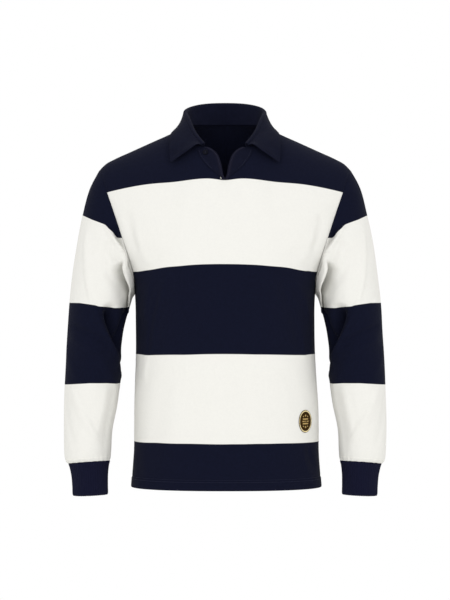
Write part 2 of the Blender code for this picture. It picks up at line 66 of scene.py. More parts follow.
def node(tree, kind, inputs, **settings):
    """Adds one node. inputs gives sockets by name or number: a value, or another node's output."""
    made = tree.nodes.new(kind)
    for name, value in settings.items():
        setattr(made, name, value)
    for name, value in inputs.items():
        if isinstance(value, bpy.types.NodeSocket):
            tree.links.new(value, made.inputs[name])
        else:
            made.inputs[name].default_value = value
    return made


def linked(name, data):
    made = bpy.data.objects.new(name, data)
    bpy.context.collection.objects.link(made)
    return made


def material(name, settings):
    """A new material, its nodes and its shader, with values set on the shader's own sockets."""
    made = bpy.data.materials.new(name)
    made.use_nodes = True
    shader = made.node_tree.nodes["Principled BSDF"]
    for socket, value in settings.items():
        shader.inputs[socket].default_value = value
    return made, made.node_tree, shader


scene = bpy.context.scene
scene.view_settings.view_transform = "Standard"
camera_data = bpy.data.cameras.new("camera")
camera_data.lens, camera_data.sensor_width = LENS, 36.0
camera = linked("camera", camera_data)
camera.location = (0.0, -CAMERA_AWAY, CAMERA_HEIGHT)
camera.rotation_euler = (np.pi / 2, 0.0, 0.0)
scene.camera = camera

world = bpy.data.worlds.new("surround")
world.use_nodes = True
scene.world = world
path = node(world.node_tree, "ShaderNodeLightPath", {})
strength = node(world.node_tree, "ShaderNodeMath", {
    0: path.outputs["Is Camera Ray"], 1: SURROUND - SURROUND_LIGHT, 2: SURROUND_LIGHT,
}, operation="MULTIPLY_ADD")
world_shader = world.node_tree.nodes["Background"]
world_shader.inputs["Color"].default_value = (1.0, 1.0, 1.0, 1.0)
world.node_tree.links.new(strength.outputs[0], world_shader.inputs["Strength"])

for lamp_name, place, width, power in LAMPS:
    lamp_data = bpy.data.lights.new(lamp_name, "AREA")
    lamp_data.size, lamp_data.energy = width, power
    lamp = linked(lamp_name, lamp_data)
    lamp.location = place
    lamp.rotation_euler = (Vector(LAMP_AIM) - Vector(place)).to_track_quat("-Z", "Y").to_euler()

turns = np.linspace(0, 2 * np.pi, 97)[:-1]
disc = np.stack([np.cos(turns), np.sin(turns), 0 * turns], 1) * FLOOR_RADIUS + (0, 0, FLOOR_HEIGHT)
floor_mesh = bpy.data.meshes.new("floor")
floor_mesh.from_pydata(disc.tolist(), [], [list(range(len(disc)))])
paper, _, _ = material("pale studio floor", {"Base Color": linear("#F4F4F1"), "Roughness": 0.9})
floor_mesh.materials.append(paper)
linked("floor", floor_mesh)

# The front body. One cut of heavy cotton jersey, wide stripes knitted in, slit down the middle of
# the neck and sewn to the back at the sides and shoulders. It stands on the form of its solid,
# with the creases of worn cloth pressed in, and its hem is turned up and sewn.
HEM_Z, UNDERARM_Z, TIP_Z, NECK_POINT_Z = -712.0, -310.0, -71.0, 20.0
NECK_POINT_X, TIP_X = 76.0, 254.0
ROUNDNESS = 2.35  # exponent of the body's sections: 2 is an ellipse
CLOTH = 1.6  # thickness of the jersey
SEAM = 0.3  # room between two panels at a seam
SEAM_DIP, SEAM_REACH = 0.6, 2.2  # a seam draws the cloth in by this much, over this distance
HEM_DEPTH, HEM_LIFT = 21.0, 0.7  # the turned-up hem: its depth, and how much fuller it stands
HEM_DIP, HEM_DIP_REACH = 0.6, 1.6  # its sewing draws the cloth in by this much, over this distance

# Height, half width, depth in front of the side seams, depth behind them, swing of the hem
BODY = np.array([
    (-712, 192.8, 127, 122, 2.7),
    (-668, 189.2, 125, 118, 2.6),
    (-640, 187.4, 124, 116, 2.7),
    (-595, 187.2, 124, 113, 3.0),
    (-546, 186.4, 123, 110, 2.6),
    (-497, 184.0, 123, 108, 1.6),
    (-449, 181.8, 123, 106, 1.0),
    (-390, 181.2, 125, 109, 0.3),
    (-325, 182.6, 128, 116, 0.0),
    (-310, 184.0, 129, 118, 0.0),
    (-295, 188.0, 129, 119, 0.0),
    (-259, 205.0, 130, 122, 0.0),
    (-209, 232.0, 130, 126, 0.0),
    (-120, 272.0, 129, 127, 0.0),
    (-71, 300.0, 127, 124, 0.0),
    (60, 330.0, 124, 120, 0.0),
])
# Distance from the middle, height of the shoulder seam
SHOULDER = np.array([
    (0, 59), (76, 20), (108, 3), (150, -16), (192, -35), (225, -50), (242, -59.5), (254, -71),
    (330, -130),
])
# Height, distance of the armhole seam from the middle
ARMHOLE = np.array([
    (-310, 184.0), (-304, 183.6), (-295, 182.9), (-259, 190.7), (-209, 206.5), (-160, 222.5),
    (-120, 236.5), (-95, 245.5), (-71, 254.0),
])
SLIT = np.array([(-96, 0.4), (-88, 3.6), (-68, 7.2), (-48.6, 13.0)])  # height, half width
NECKLINE = np.array([  # distance from the middle, height
    (13, -48.6), (22, -37), (34, -30), (46, -29), (58, -22), (70, -3), (76, 20),
])
BACK_NECK_Z = 24.0
FRONT_ROUNDS_FROM, BACK_ROUNDS_FROM, FRONT_ROUND, BACK_ROUND = -280.0, -230.0, 2.0, 2.4
NECK_SHARE, MIDDLE_EASE = 5 / 12, 0.35

# Where navy and white meet: height in the middle, how far the line drops at a distance from it.
# Then where it sags besides, by how much and over what half width, on both sides of the middle.
STRIPES = np.array([
    (-92.8, 27.0, 239.0, 102.0, 2.9, 40.0),
    (-264.0, 14.0, 184.0, 156.0, 2.8, 26.0),
    (-442.0, 4.6, 184.0, 184.0, -2.6, 22.0),
    (-620.6, -0.4, 184.0, 88.0, -1.8, 60.0),
])
SLIT_SAG, SLIT_SAG_WIDTH = 4.6, 24.0  # the slit's end pulls the first line down here
WHOLE_STRIPE = 170.0  # height of a stripe that has only one line in the tables
# x and z of a crease's two ends, half width, height (below 0 a trough), how far it bows sideways,
# and its lean: above 0 its right side is the steep one
FRONT_CREASES = np.array([
    (-148, -300, -158, -372, 11, 2.6, 3, 0.4),
    (-119, -300, -148, -440, 12, 2.8, 6, 0.3),
    (-132, -318, -152, -440, 8, -3.0, 4, -0.4),
    (-151, -440, -161, -494, 9, 1.6, 2, 0.4),
    (112, -300, 150, -430, 13, -3.4, -6, 0.3),
    (140, -300, 172, -376, 12, 3.2, -3, -0.4),
    (126, -330, 160, -452, 9, 1.6, -5, 0.2),
    (166, -628, 184, -672, 8, -2.8, 2, 0.5),
    (156, -640, 176, -700, 10, 1.6, 3, -0.3),
    (-176, -640, -168, -700, 12, -1.4, 2, 0.0),
    (-193, -165, -176, -236, 17, -3.0, 4, 0.3),
    (193, -165, 176, -236, 17, -3.0, -4, -0.3),
    (-176, -196, -150, -262, 12, 1.6, 6, 0.0),
    (176, -196, 150, -262, 12, 1.6, -6, 0.0),
    (-170, -284, -128, -246, 10, -1.6, 4, 0.3),
    (171, -280, 132, -238, 10, -1.5, 4, 0.3),
    (-72, -120, -88, -330, 26, 1.3, 8, 0.0),
    (66, -130, 96, -352, 28, 1.3, -8, 0.0),
    (-20, -110, -34, -240, 20, -1.2, 5, 0.0),
    (28, -104, 44, -226, 18, -1.1, -5, 0.0),
    (-70, -420, -96, -640, 30, 1.2, 8, 0.0),
    (58, -440, 88, -660, 30, 1.2, -8, 0.0),
    (-6, -470, 16, -640, 26, -0.9, 6, 0.0),
    (-120, -520, -146, -690, 20, -1.3, 4, 0.0),
    (122, -480, 150, -600, 20, -1.2, -4, 0.0),
    (-178, -330, -168, -400, 10, -1.8, 2, 0.0),
    (178, -330, 170, -410, 10, -1.8, -2, 0.0),
])
BACK_CREASES = np.array([
    (-150, -290, -110, -430, 15, -3.4, 6, 0.3),
    (150, -290, 116, -410, 15, -3.4, -6, -0.3),
    (-60, -470, 40, -520, 18, -3.0, 6, 0.2),
    (-90, -500, 10, -552, 14, 1.8, 6, 0.0),
    (96, -452, 30, -490, 12, 1.6, 4, 0.0),
    (-188, -180, -165, -250, 16, -3.0, 4, 0.3),
    (188, -180, 165, -250, 16, -3.0, -4, -0.3),
    (-168, -250, -96, -350, 16, 2.2, 8, 0.0),
    (168, -246, 100, -336, 16, 2.2, -8, 0.0),
    (-120, -120, -104, -300, 22, 1.5, 8, 0.0),
    (116, -110, 98, -310, 24, 1.5, -8, 0.0),
    (-46, -66, -58, -210, 18, -1.2, 4, 0.0),
    (40, -70, 60, -230, 20, -1.2, -4, 0.0),
    (-110, -560, -124, -700, 22, 1.5, 5, 0.0),
    (104, -540, 130, -700, 22, 1.5, -5, 0.0),
    (0, -560, -12, -700, 24, -1.4, 5, 0.0),
    (60, -560, 56, -690, 18, -1.2, 4, 0.0),
    (-162, -340, -154, -480, 12, -1.7, 3, 0.0),
    (164, -330, 152, -470, 12, -1.7, -3, 0.0),
])
CREASE_FADE = 0.18  # a crease fades out over this share of its length, before and after each end
SIDE_FADE, TOP_FADE, HEM_FADE = 22.0, 34.0, 30.0
HEM_SHARE = 0.35  # a crease keeps this share of its height at the hem


def curve_through(table, at, column, key=0):
    """A smooth curve through one column of a table: cubic pieces whose slopes are the table's own."""
    keys, values = table[:, key], table[:, column]
    slopes = np.gradient(values, keys)
    at = np.clip(at, keys[0], keys[-1])
    row = np.clip(np.searchsorted(keys, at, side="right") - 1, 0, len(keys) - 2)
    span = keys[row + 1] - keys[row]
    t = (at - keys[row]) / span
    return (
        (1 + 2 * t) * (1 - t) ** 2 * values[row]
        + t * (1 - t) ** 2 * span * slopes[row]
        + t**2 * (3 - 2 * t) * values[row + 1]
        + t**2 * (t - 1) * span * slopes[row + 1]
    )


def smooth_step(t):
    """0 below 0, 1 above 1, and 3t² - 2t³ between."""
    t = np.clip(t, 0, 1)
    return t * t * (3 - 2 * t)


def unit(vectors):
    return vectors / np.linalg.norm(vectors, axis=-1, keepdims=True)


def crease_height(creases, across, along, scale=1.0):
    """The sum of the creases at a point: each is a bell across a bowed line that fades at its ends."""
    total = np.zeros(np.broadcast(across, along).shape)
    for x0, z0, x1, z1, half_width, height, bow, lean in creases:
        dx, dz = (x1 - x0) * scale, z1 - z0
        px, pz = (across - x0) * scale, along - z0
        length = np.hypot(dx, dz)
        t = (px * dx + pz * dz) / length**2
        off = (px * dz - pz * dx) / length - bow * 4 * np.clip(t, 0, 1) * (1 - np.clip(t, 0, 1))
        ends = smooth_step((t / CREASE_FADE + 1) / 2) * smooth_step(((1 - t) / CREASE_FADE + 1) / 2)
        width = half_width * (1 + lean * np.tanh(off / half_width * 2))
        total += height * ends * np.exp(-2 * (off / width) ** 2)
    return total


def run_from_end(grid, axis):
    """How far each point lies, along the cloth, from the last point of its row or column."""
    steps = np.linalg.norm(np.diff(grid, axis=axis), axis=-1)
    run = np.concatenate([np.zeros_like(np.take(steps, [0], axis)), np.cumsum(steps, axis)], axis)
    return np.take(run, [-1], axis) - run


def run_from_start(grid, axis):
    return np.flip(run_from_end(np.flip(grid, axis), axis), axis)


def run_along(line):
    """How far each point of a line lies from its first."""
    return np.concatenate([[0], np.cumsum(np.linalg.norm(np.diff(line, axis=0), axis=1))])


def shoulder_line(x):
    return curve_through(SHOULDER, np.abs(x), 1)


def back_neck_height(x):
    return BACK_NECK_Z + (NECK_POINT_Z - BACK_NECK_Z) * (x / NECK_POINT_X) ** 2


def body_depth(x, z, side):
    """Depth at (x, z): a squared ellipse across the body, rounded in towards the shoulder."""
    in_front = np.less(side, 0)
    half_width = curve_through(BODY, z, 1)
    full = np.where(in_front, curve_through(BODY, z, 2), curve_through(BODY, z, 3))
    start = np.where(in_front, FRONT_ROUNDS_FROM, BACK_ROUNDS_FROM)
    power = np.where(in_front, FRONT_ROUND, BACK_ROUND)
    rise = np.clip((z - start) / (shoulder_line(x) - start), 0, 1)
    off_middle = np.abs(x - curve_through(BODY, z, 4))
    section = (1 - np.clip(off_middle / half_width, 0, 1) ** ROUNDNESS) ** (1 / ROUNDNESS)
    return full * np.sqrt(1 - rise**power) * section


def body_point(x, z, side):
    x, z, side = np.broadcast_arrays(x, z, side)
    return np.stack([x, side * (body_depth(x, z, side) + SEAM / 2), z], axis=-1)


def panel_half(side, hand):
    """Half a panel as a grid. Rows run from the hem to the neck and shoulder, columns outwards.

    Rows are closer at the hem's sewing and at every seam, where the cloth bends most.
    """
    near_seam = np.array([0.989, 0.993, 0.9965, 1.0])
    u = np.concatenate([
        np.linspace(0, NECK_SHARE, 33, endpoint=False),
        np.linspace(NECK_SHARE, 0.984, 45),
        near_seam,
    ])
    arc = np.sin(u * np.pi / 2) ** (2 / ROUNDNESS)
    sewn = HEM_Z + HEM_DEPTH + np.array([-2.0, -1.0, 0.0, 1.0, 2.0])
    even = np.linspace(HEM_Z, UNDERARM_Z, 122)
    even = even[np.abs(even - sewn[2]) > 2.6]
    low_z = np.sort(np.concatenate([even, sewn, HEM_Z + np.array([0.5, 1.4])]))[:, None]
    low_x = curve_through(BODY, low_z, 1) * arc

    to_neck = np.clip(u / NECK_SHARE, 0, 1)
    if side < 0:
        neck_x = SLIT[-1, 1] + (NECK_POINT_X - SLIT[-1, 1]) * to_neck
        neck_z = curve_through(NECKLINE, neck_x, 1)
    else:
        neck_x = NECK_POINT_X * np.sin(to_neck * np.pi / 2)
        neck_z = back_neck_height(neck_x)
    to_tip = (u - NECK_SHARE) / (1 - NECK_SHARE)
    top_x = np.where(to_tip < 0, neck_x, NECK_POINT_X + (TIP_X - NECK_POINT_X) * to_tip)
    top_z = np.where(to_tip < 0, neck_z, shoulder_line(top_x))

    t = np.concatenate([np.linspace(0, 0.984, 104)[1:], near_seam])[:, None]
    eased = (1 - np.cos(np.pi * t)) / 2
    climb = t + (eased - t) * (MIDDLE_EASE + (1 - MIDDLE_EASE) * u)
    high_z = UNDERARM_Z + (top_z - UNDERARM_Z) * climb
    middle = np.zeros_like(t)
    if side < 0:
        middle_z = high_z[:, :1]
        middle = np.where(middle_z > SLIT[0, 0] + 1, curve_through(SLIT, middle_z, 1), 0)
    reach = curve_through(ARMHOLE, UNDERARM_Z + (TIP_Z - UNDERARM_Z) * eased, 1)
    share = arc + ((top_x - top_x[0]) / (TIP_X - top_x[0]) - arc) * climb
    high_x = middle + (reach - middle) * share
    x, z = np.concatenate([low_x, high_x]), np.concatenate([low_z + 0 * u, high_z])
    return body_point(hand * x + curve_through(BODY, z, 4), z, side)


def body_stripe(x, z, side):
    """0 to 1 is navy, 1 to 2 white, and so on down: straight between the lines of STRIPES."""
    lines = [
        height - drop * (x / over) ** 2 - sag * np.exp(-(((np.abs(x) - at) / width) ** 2))
        for height, drop, over, at, sag, width in STRIPES
    ]
    if side < 0:
        lines[0] = lines[0] - SLIT_SAG * np.exp(-((x / SLIT_SAG_WIDTH) ** 2))
    lines = [lines[0] + WHOLE_STRIPE, *lines, lines[-1] - WHOLE_STRIPE]
    return sum(np.clip((top - z) / (top - low), 0, 1) for top, low in zip(lines, lines[1:]))


def body_creases(creases, x, z):
    """The creases' height, fading out at the seams and the hem, and a slow unevenness over all."""
    reach = np.where(z < UNDERARM_Z, curve_through(BODY, z, 1), curve_through(ARMHOLE, z, 1))
    fade = smooth_step((reach - np.abs(x)) / SIDE_FADE) * smooth_step((shoulder_line(x) - z) / TOP_FADE)
    fade = fade * (HEM_SHARE + (1 - HEM_SHARE) * smooth_step((z - HEM_Z) / HEM_FADE))
    slow = 0.5 * np.sin(x / 31 + 1.7 * np.sin(z / 83)) * np.sin(z / 57 + 1.3 * np.sin(x / 71 + 0.6))
    return (crease_height(creases, x, z) + slow) * fade


def vertex_normals(points, quads):
    """Each point's normal: the sum of the crossed diagonals of the quads around it, made unit."""
    crossed = np.cross(
        points[quads[:, 2]] - points[quads[:, 0]], points[quads[:, 3]] - points[quads[:, 1]]
    )
    corner = quads.ravel()
    return unit(np.stack([
        np.bincount(corner, np.repeat(crossed[:, axis], 4), len(points)) for axis in range(3)
    ], axis=1))


def grid_quads(rows, columns):
    ids = np.arange(rows * columns).reshape(rows, columns)
    return np.stack([ids[:-1, :-1], ids[:-1, 1:], ids[1:, 1:], ids[1:, :-1]], -1).reshape(-1, 4)


def mesh_piece(name, points, faces, material, smooth=True):
    """A mesh from arrays of points in millimetres and of faces with equal corner counts."""
    mesh = bpy.data.meshes.new(name)
    corners = faces.shape[1]
    mesh.vertices.add(len(points))
    mesh.vertices.foreach_set("co", (points * MM).astype(np.float32).ravel())
    mesh.loops.add(faces.size)
    mesh.loops.foreach_set("vertex_index", faces.astype(np.int32).ravel())
    mesh.polygons.add(len(faces))
    mesh.polygons.foreach_set("loop_start", np.arange(len(faces), dtype=np.int32) * corners)
    mesh.polygons.foreach_set("use_smooth", np.full(len(faces), smooth))
    mesh.materials.append(material)
    mesh.update(calc_edges=True)
    return linked(name, mesh)


def wall_piece(name, grids, thickness, material, rim_steps=4, steady=None):
    """A shell with a half-round rim, from grids of points that are welded where they meet.

    Each grid is (points, knit, stripe, height, flip): knit is across and along the cloth, height
    is how far a point stands out from the plain grid. The inside is the outside moved in along
    its normals, and the rim is a half circle between the two. It returns the piece, and the
    outside's points and normals as the same grids again.
    """
    flat = np.concatenate([points.reshape(-1, 3) for points, *_ in grids])
    height = np.concatenate([grid[3].reshape(-1, 1) for grid in grids])
    _, first, index = np.unique(np.round(flat, 3) + 0.0, axis=0, return_index=True, return_inverse=True)
    index = index.ravel()
    raw, start = [], 0
    for points, _, _, _, flip in grids:
        cells = start + grid_quads(*points.shape[:2])
        raw.append(cells[:, ::-1] if flip else cells)
        start += points.shape[0] * points.shape[1]
    raw = np.concatenate(raw)
    quads = index[raw]
    plain = flat[first]
    normals = vertex_normals(plain, quads)
    outer = plain + normals * height[first]
    normals = vertex_normals(outer, quads)
    if steady is not None:
        normals = unit(normals * np.where(steady(plain)[:, None], (1, 0, 1), 1))
    inner = outer - normals * thickness
    count = len(outer)

    edges = np.concatenate([quads[:, [i, (i + 1) % 4]] for i in range(4)])
    code, back = edges[:, 0] * count + edges[:, 1], edges[:, 1] * count + edges[:, 0]
    a, b = edges[~np.isin(code, back)].T
    edge_out = np.cross(outer[b] - outer[a], normals[a] + normals[b])
    out = np.zeros_like(outer)
    np.add.at(out, a, edge_out)
    np.add.at(out, b, edge_out)
    rim_ids = np.unique(a)
    rim_out = unit(out[rim_ids])
    middle, radius = (outer[rim_ids] + inner[rim_ids]) / 2, thickness / 2
    angles = np.linspace(0, np.pi, rim_steps + 1)[1:-1]
    rims = [middle + radius * (normals[rim_ids] * np.cos(w) + rim_out * np.sin(w) * 0.8) for w in angles]
    place = np.full(count, -1)
    place[rim_ids] = np.arange(len(rim_ids))
    between = [2 * count + k * len(rim_ids) + np.arange(len(rim_ids)) for k in range(len(rims))]
    levels = [rim_ids, *between, count + rim_ids]
    strips = [
        np.stack([low[place[b]], low[place[a]], high[place[a]], high[place[b]]], 1)
        for low, high in zip(levels, levels[1:])
    ]
    faces = np.concatenate([quads, quads[:, ::-1] + count, *strips])
    piece = mesh_piece(name, np.concatenate([outer, inner, *rims]), faces, material)

    knit = np.concatenate([grid[1].reshape(-1, 2) for grid in grids])
    stripe = np.concatenate([grid[2].ravel() for grid in grids])[first]
    rim_knit = np.tile(knit[first][np.stack([b, a, a, b], 1)].reshape(-1, 2), (len(strips), 1))
    per_corner = np.concatenate([knit[raw].reshape(-1, 2), knit[raw[:, ::-1]].reshape(-1, 2), rim_knit])
    layer = piece.data.uv_layers.new(name="knit")
    layer.data.foreach_set("uv", (per_corner * MM).astype(np.float32).ravel())
    values = np.concatenate([stripe, stripe, *[stripe[rim_ids]] * len(rims)])
    attribute = piece.data.attributes.new("stripe", "FLOAT", "POINT")
    attribute.data.foreach_set("value", values.astype(np.float32))

    ends = np.cumsum([points.shape[0] * points.shape[1] for points, *_ in grids])[:-1]
    shapes = [points.shape for points, *_ in grids]
    outside = [part.reshape(s) for part, s in zip(np.split(outer[index], ends), shapes)]
    facing = [part.reshape(s) for part, s in zip(np.split(normals[index], ends), shapes)]
    return piece, outside, facing


def cut_from(piece, grids, held, *with_pieces, level=slice(None)):
    """Measures the cut of what shows, its widest row in level and its longest column, and does nothing
    with them.
    """
    width = sum(run_from_end(points, 1)[level, 0] for points in grids).max()
    length = max(run_from_end(points, 0)[0].max() for points in grids)


# Heavy cotton jersey, knitted in stripes and washed soft: dull, slightly hairy, with fine columns
# of stitches and a faint unevenness. The columns are 1.5 mm apart, a little wider than real ones,
# so that they show from near. Cotton has almost no gloss, so the navy stays deep.
WALE, COURSE, JERSEY_RELIEF = 1.5, 1.15, 0.32
STRIPE_EDGE = 0.006  # softness of a stripe's edge, as a share of a stripe


def knit_bump(tree, wale, course, depth):
    """Columns of stitches: a rib of |sin| across, with slanted legs along it, and slow unevenness."""
    knit = node(tree, "ShaderNodeUVMap", {}, uv_map="knit")
    parts = node(tree, "ShaderNodeSeparateXYZ", {0: knit.outputs[0]})
    across, along = (
        node(tree, "ShaderNodeMath", {0: parts.outputs[i], 1: 1 / (size * MM)}, operation="MULTIPLY")
        for i, size in enumerate((wale, course))
    )
    leg = node(tree, "ShaderNodeMath", {0: across.outputs[0], 1: 0.5}, operation="PINGPONG")
    slant = node(tree, "ShaderNodeMath", {0: leg.outputs[0], 1: 1.3, 2: along.outputs[0]},
                 operation="MULTIPLY_ADD")
    turn = node(tree, "ShaderNodeMath", {0: slant.outputs[0], 1: 2 * np.pi}, operation="MULTIPLY")
    loops = node(tree, "ShaderNodeMath", {0: turn.outputs[0]}, operation="SINE")
    height = node(tree, "ShaderNodeMath", {0: loops.outputs[0], 1: 0.25, 2: leg.outputs[0]},
                  operation="MULTIPLY_ADD")
    place = node(tree, "ShaderNodeTexCoord", {})
    slow = node(tree, "ShaderNodeTexNoise", {"Vector": place.outputs["Object"], "Scale": 70.0,
                                             "Detail": 3.0, "Roughness": 0.6})
    uneven = node(tree, "ShaderNodeBump", {"Height": slow.outputs[0], "Strength": 0.28,
                                           "Distance": 0.0016})
    return node(tree, "ShaderNodeBump", {"Height": height.outputs[0], "Strength": 0.55,
                                         "Distance": depth * MM, "Normal": uneven.outputs[0]})


def cloth_material(name, roughness, sheen):
    return material(name, {
        "Roughness": roughness, "Specular IOR Level": 0.03,
        "Sheen Weight": sheen, "Sheen Roughness": 0.6,
    })


def mottled(tree, dark, light, **noise):
    """A noise, and a colour that goes from dark to light with it."""
    place = node(tree, "ShaderNodeTexCoord", {})
    patch = node(tree, "ShaderNodeTexNoise", {"Vector": place.outputs["Object"], **noise})
    mix = node(tree, "ShaderNodeMix", {0: patch.outputs[0], 6: linear(dark), 7: linear(light)},
               data_type="RGBA")
    return patch.outputs[0], mix.outputs[2]


def cover(tree, shader, colour, bump):
    tree.links.new(colour, shader.inputs["Base Color"])
    tree.links.new(bump.outputs[0], shader.inputs["Normal"])


jersey, tree, shader = cloth_material("heavy cotton jersey", 0.92, 0.012)
stripe = node(tree, "ShaderNodeAttribute", {}, attribute_name="stripe")
turn = node(tree, "ShaderNodeMath", {0: stripe.outputs["Fac"], 1: np.pi}, operation="MULTIPLY")
wave = node(tree, "ShaderNodeMath", {0: turn.outputs[0]}, operation="SINE")
is_navy = node(tree, "ShaderNodeMapRange", {"Value": wave.outputs[0], "From Min": -STRIPE_EDGE,
                                            "From Max": STRIPE_EDGE})
_, white_yarn = mottled(tree, "#CFCECA", "#D7D6D1", Scale=240.0, Detail=4.0, Roughness=0.7)
_, navy_yarn = mottled(tree, "#090B18", "#101325", Scale=240.0, Detail=4.0, Roughness=0.7)
colour = node(tree, "ShaderNodeMix", {0: is_navy.outputs[0], 6: white_yarn, 7: navy_yarn},
              data_type="RGBA")
cover(tree, shader, colour.outputs[2], knit_bump(tree, WALE, COURSE, JERSEY_RELIEF))


def body_shell(name, side, creases):
    grids = []
    for hand in (-1, 1):
        points = panel_half(side, hand)
        across = run_from_end(points, 1)
        across = (across[:, :1] - across) * hand
        knit = np.stack([across, run_from_start(points, 0)], axis=-1)
        x, z = points[..., 0], points[..., 2]
        crease = body_creases(creases, x, z)
        edge_run = np.minimum(run_from_end(points, 1), run_from_end(points, 0))
        dip = -SEAM_DIP * np.exp(-((edge_run / SEAM_REACH) ** 2))
        up = z - HEM_Z
        sewn = -HEM_DIP * np.exp(-(((up - HEM_DEPTH) / HEM_DIP_REACH) ** 2))
        full = HEM_LIFT * smooth_step((HEM_DEPTH - up) / 3) * smooth_step((up + 2) / 5)
        stripe = body_stripe(x, z + 0.4 * crease, side)
        grids.append((points, knit, stripe, crease + dip + sewn + full, side * hand > 0))

    def on_side_seam(plain):
        return np.abs(plain[:, 1]) < SEAM / 2 + 0.01

    return wall_piece(name, grids, CLOTH, jersey, steady=on_side_seam)


front, front_grids, front_normals = body_shell("front_jersey", -1, FRONT_CREASES)
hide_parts("front")
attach(front, "root")

# The back body. The same jersey in one cut, with no slit, sewn to the front at the shoulders and
# sides. Its folds run in from the armholes and lie across the small of the back.
back, back_grids, back_normals = body_shell("back_jersey", 1, BACK_CREASES)
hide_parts("back")
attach(back, "root")

# Sewing thread. Each stitch is a short strand that lies on the cloth and dives in at both ends.
THREAD_RADIUS = 0.32
HEM_SECOND_LINE, HEM_PITCH = 5.8, 3.4  # the hem's second line below its first, and stitch to stitch


def thread_material(name, colour, roughness=0.6):
    return material(name, {
        "Base Color": linear(colour), "Roughness": roughness, "Specular IOR Level": 0.25,
    })


def strands(start, end, normals, radius, arch):
    """Four-sided threads from start to end: five rings each, raised by a sine in the middle."""
    t = np.array([0.0, 0.16, 0.5, 0.84, 1.0])[None, :, None]
    thin = np.array([0.35, 0.9, 1.0, 0.9, 0.35])[None, :, None, None]
    along, out = unit(end - start)[:, None], unit(normals)[:, None]
    raised = arch * np.sin(np.pi * t) - radius * 0.5
    centre = start[:, None] + (end - start)[:, None] * t + out * raised
    side = unit(np.cross(along, out))
    angle = np.arange(4) / 4 * 2 * np.pi
    spokes = out[:, :, None] * np.cos(angle)[:, None] + side[:, :, None] * np.sin(angle)[:, None]
    points = (centre[:, :, None] + spokes * radius * thin).reshape(-1, 3)
    ring = np.arange(20).reshape(5, 4)
    nxt = np.roll(ring, -1, axis=1)
    one = np.stack([ring[:-1], nxt[:-1], nxt[1:], ring[1:]], -1).reshape(-1, 4)
    one = np.concatenate([one, ring[:1, ::-1], ring[-1:]])
    return points, (one[None] + 20 * np.arange(len(start))[:, None, None]).reshape(-1, 4)


def sewn_line(points, normals, pitch, share=0.72):
    """Starts, ends and normals of even stitches along a line of points."""
    run = run_along(points)
    middle = (np.arange(int(run[-1] // pitch)) + 0.5) * pitch

    def at(where, values):
        return np.stack([np.interp(where, run, values[:, axis]) for axis in range(3)], axis=1)

    half = pitch * share / 2
    return at(middle - half, points), at(middle + half, points), at(middle, normals)


def sewing(name, lines, pitch, material, radius=THREAD_RADIUS):
    parts = [
        strands(*sewn_line(points, normals, pitch), radius, radius * 0.9) for points, normals in lines
    ]
    counts = np.cumsum([0] + [len(points) for points, _ in parts])[:-1]
    faces = np.concatenate([part[1] + start for part, start in zip(parts, counts)])
    piece = mesh_piece(name, np.concatenate([part[0] for part in parts]), faces, material)
    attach(piece, "root")
    return piece


def hem_row(grids, normals, up):
    """The points and normals of a whole panel's row at a height over the hem."""
    row = np.abs(grids[0][:, 0, 2] - (HEM_Z + up)).argmin()
    return tuple(np.concatenate([pair[0][row, ::-1], pair[1][row, 1:]]) for pair in (grids, normals))


navy_thread, _, _ = thread_material("navy sewing thread", "#1B1E33")
white_thread, _, _ = thread_material("white sewing thread", "#E8E6DD")
hem_lines = [
    hem_row(grids, normals, HEM_DEPTH - drop)
    for grids, normals in ((front_grids, front_normals), (back_grids, back_normals))
    for drop in (0.0, HEM_SECOND_LINE)
]
hem_stitches = sewing("hem_stitches", hem_lines, HEM_PITCH, navy_thread)
below_shoulder = slice(None, -25)  # the rows above these curve up to the neck and the shoulders
cut_from(front, front_grids, "hung", hem_stitches, level=below_shoulder)
cut_from(back, back_grids, "hung", level=below_shoulder)

# The sleeves. Each is one cut of the same jersey with a low cap, sewn round the dropped armhole
# and closed under the arm. It hangs in soft folds inside the elbow and is eased into its cuff.
# Outer edge x and z, inner edge x and z, half depth, how far forward the ring's middle is
SLEEVE = np.array([
    (254.0, -71, 184.9, -309.5, 66, 0),
    (275.0, -112, 185.3, -315, 70, 0),
    (288.5, -164, 186.2, -322, 73, 1),
    (298.5, -212, 188.0, -330, 74, 2),
    (306.0, -258, 191.0, -341, 74, 3),
    (311.8, -305, 195.5, -356, 72, 4),
    (316.5, -352, 201.8, -378, 69, 5),
    (319.3, -400, 207.5, -408, 66, 6),
    (322.0, -450, 210.5, -451, 63, 8),
    (324.4, -500, 211.8, -499, 60, 11),
    (325.6, -548, 217.0, -547, 57, 14),
    (326.0, -596, 226.5, -595, 54, 18),
    (325.0, -640, 229.0, -639, 50, 21),
    (322.5, -658, 230.5, -656.5, 46, 22.5),
    (317.4, -665.5, 232.2, -665.5, 41.5, 23),
])
SLEEVE_ROUNDNESS, CAP_ROWS, ARMHOLE_ROOM, SLEEVE_GIRTH = 2.1, 4.5, 0.5, 360.0
# Where navy and white meet on the sleeve: distance from the middle of the body, and height. The
# first line steps down where it crosses the folds that run in from the armhole.
SHOULDER_LINE = np.array([
    (180, -216), (205, -211.5), (211, -210), (219, -205.5), (225, -198.5), (233, -192),
    (238.5, -185.5), (243, -183), (267, -174), (290, -163),
])
ELBOW_LINE = np.array([
    (190, -349), (220, -351.6), (243, -348.7), (254, -347.4), (258, -345.4), (291, -341), (320, -340.6),
])
FOREARM_LINE = np.array([
    (205, -503), (220, -503.2), (236, -501.6), (270, -501.4), (295, -503), (325, -505.5),
])
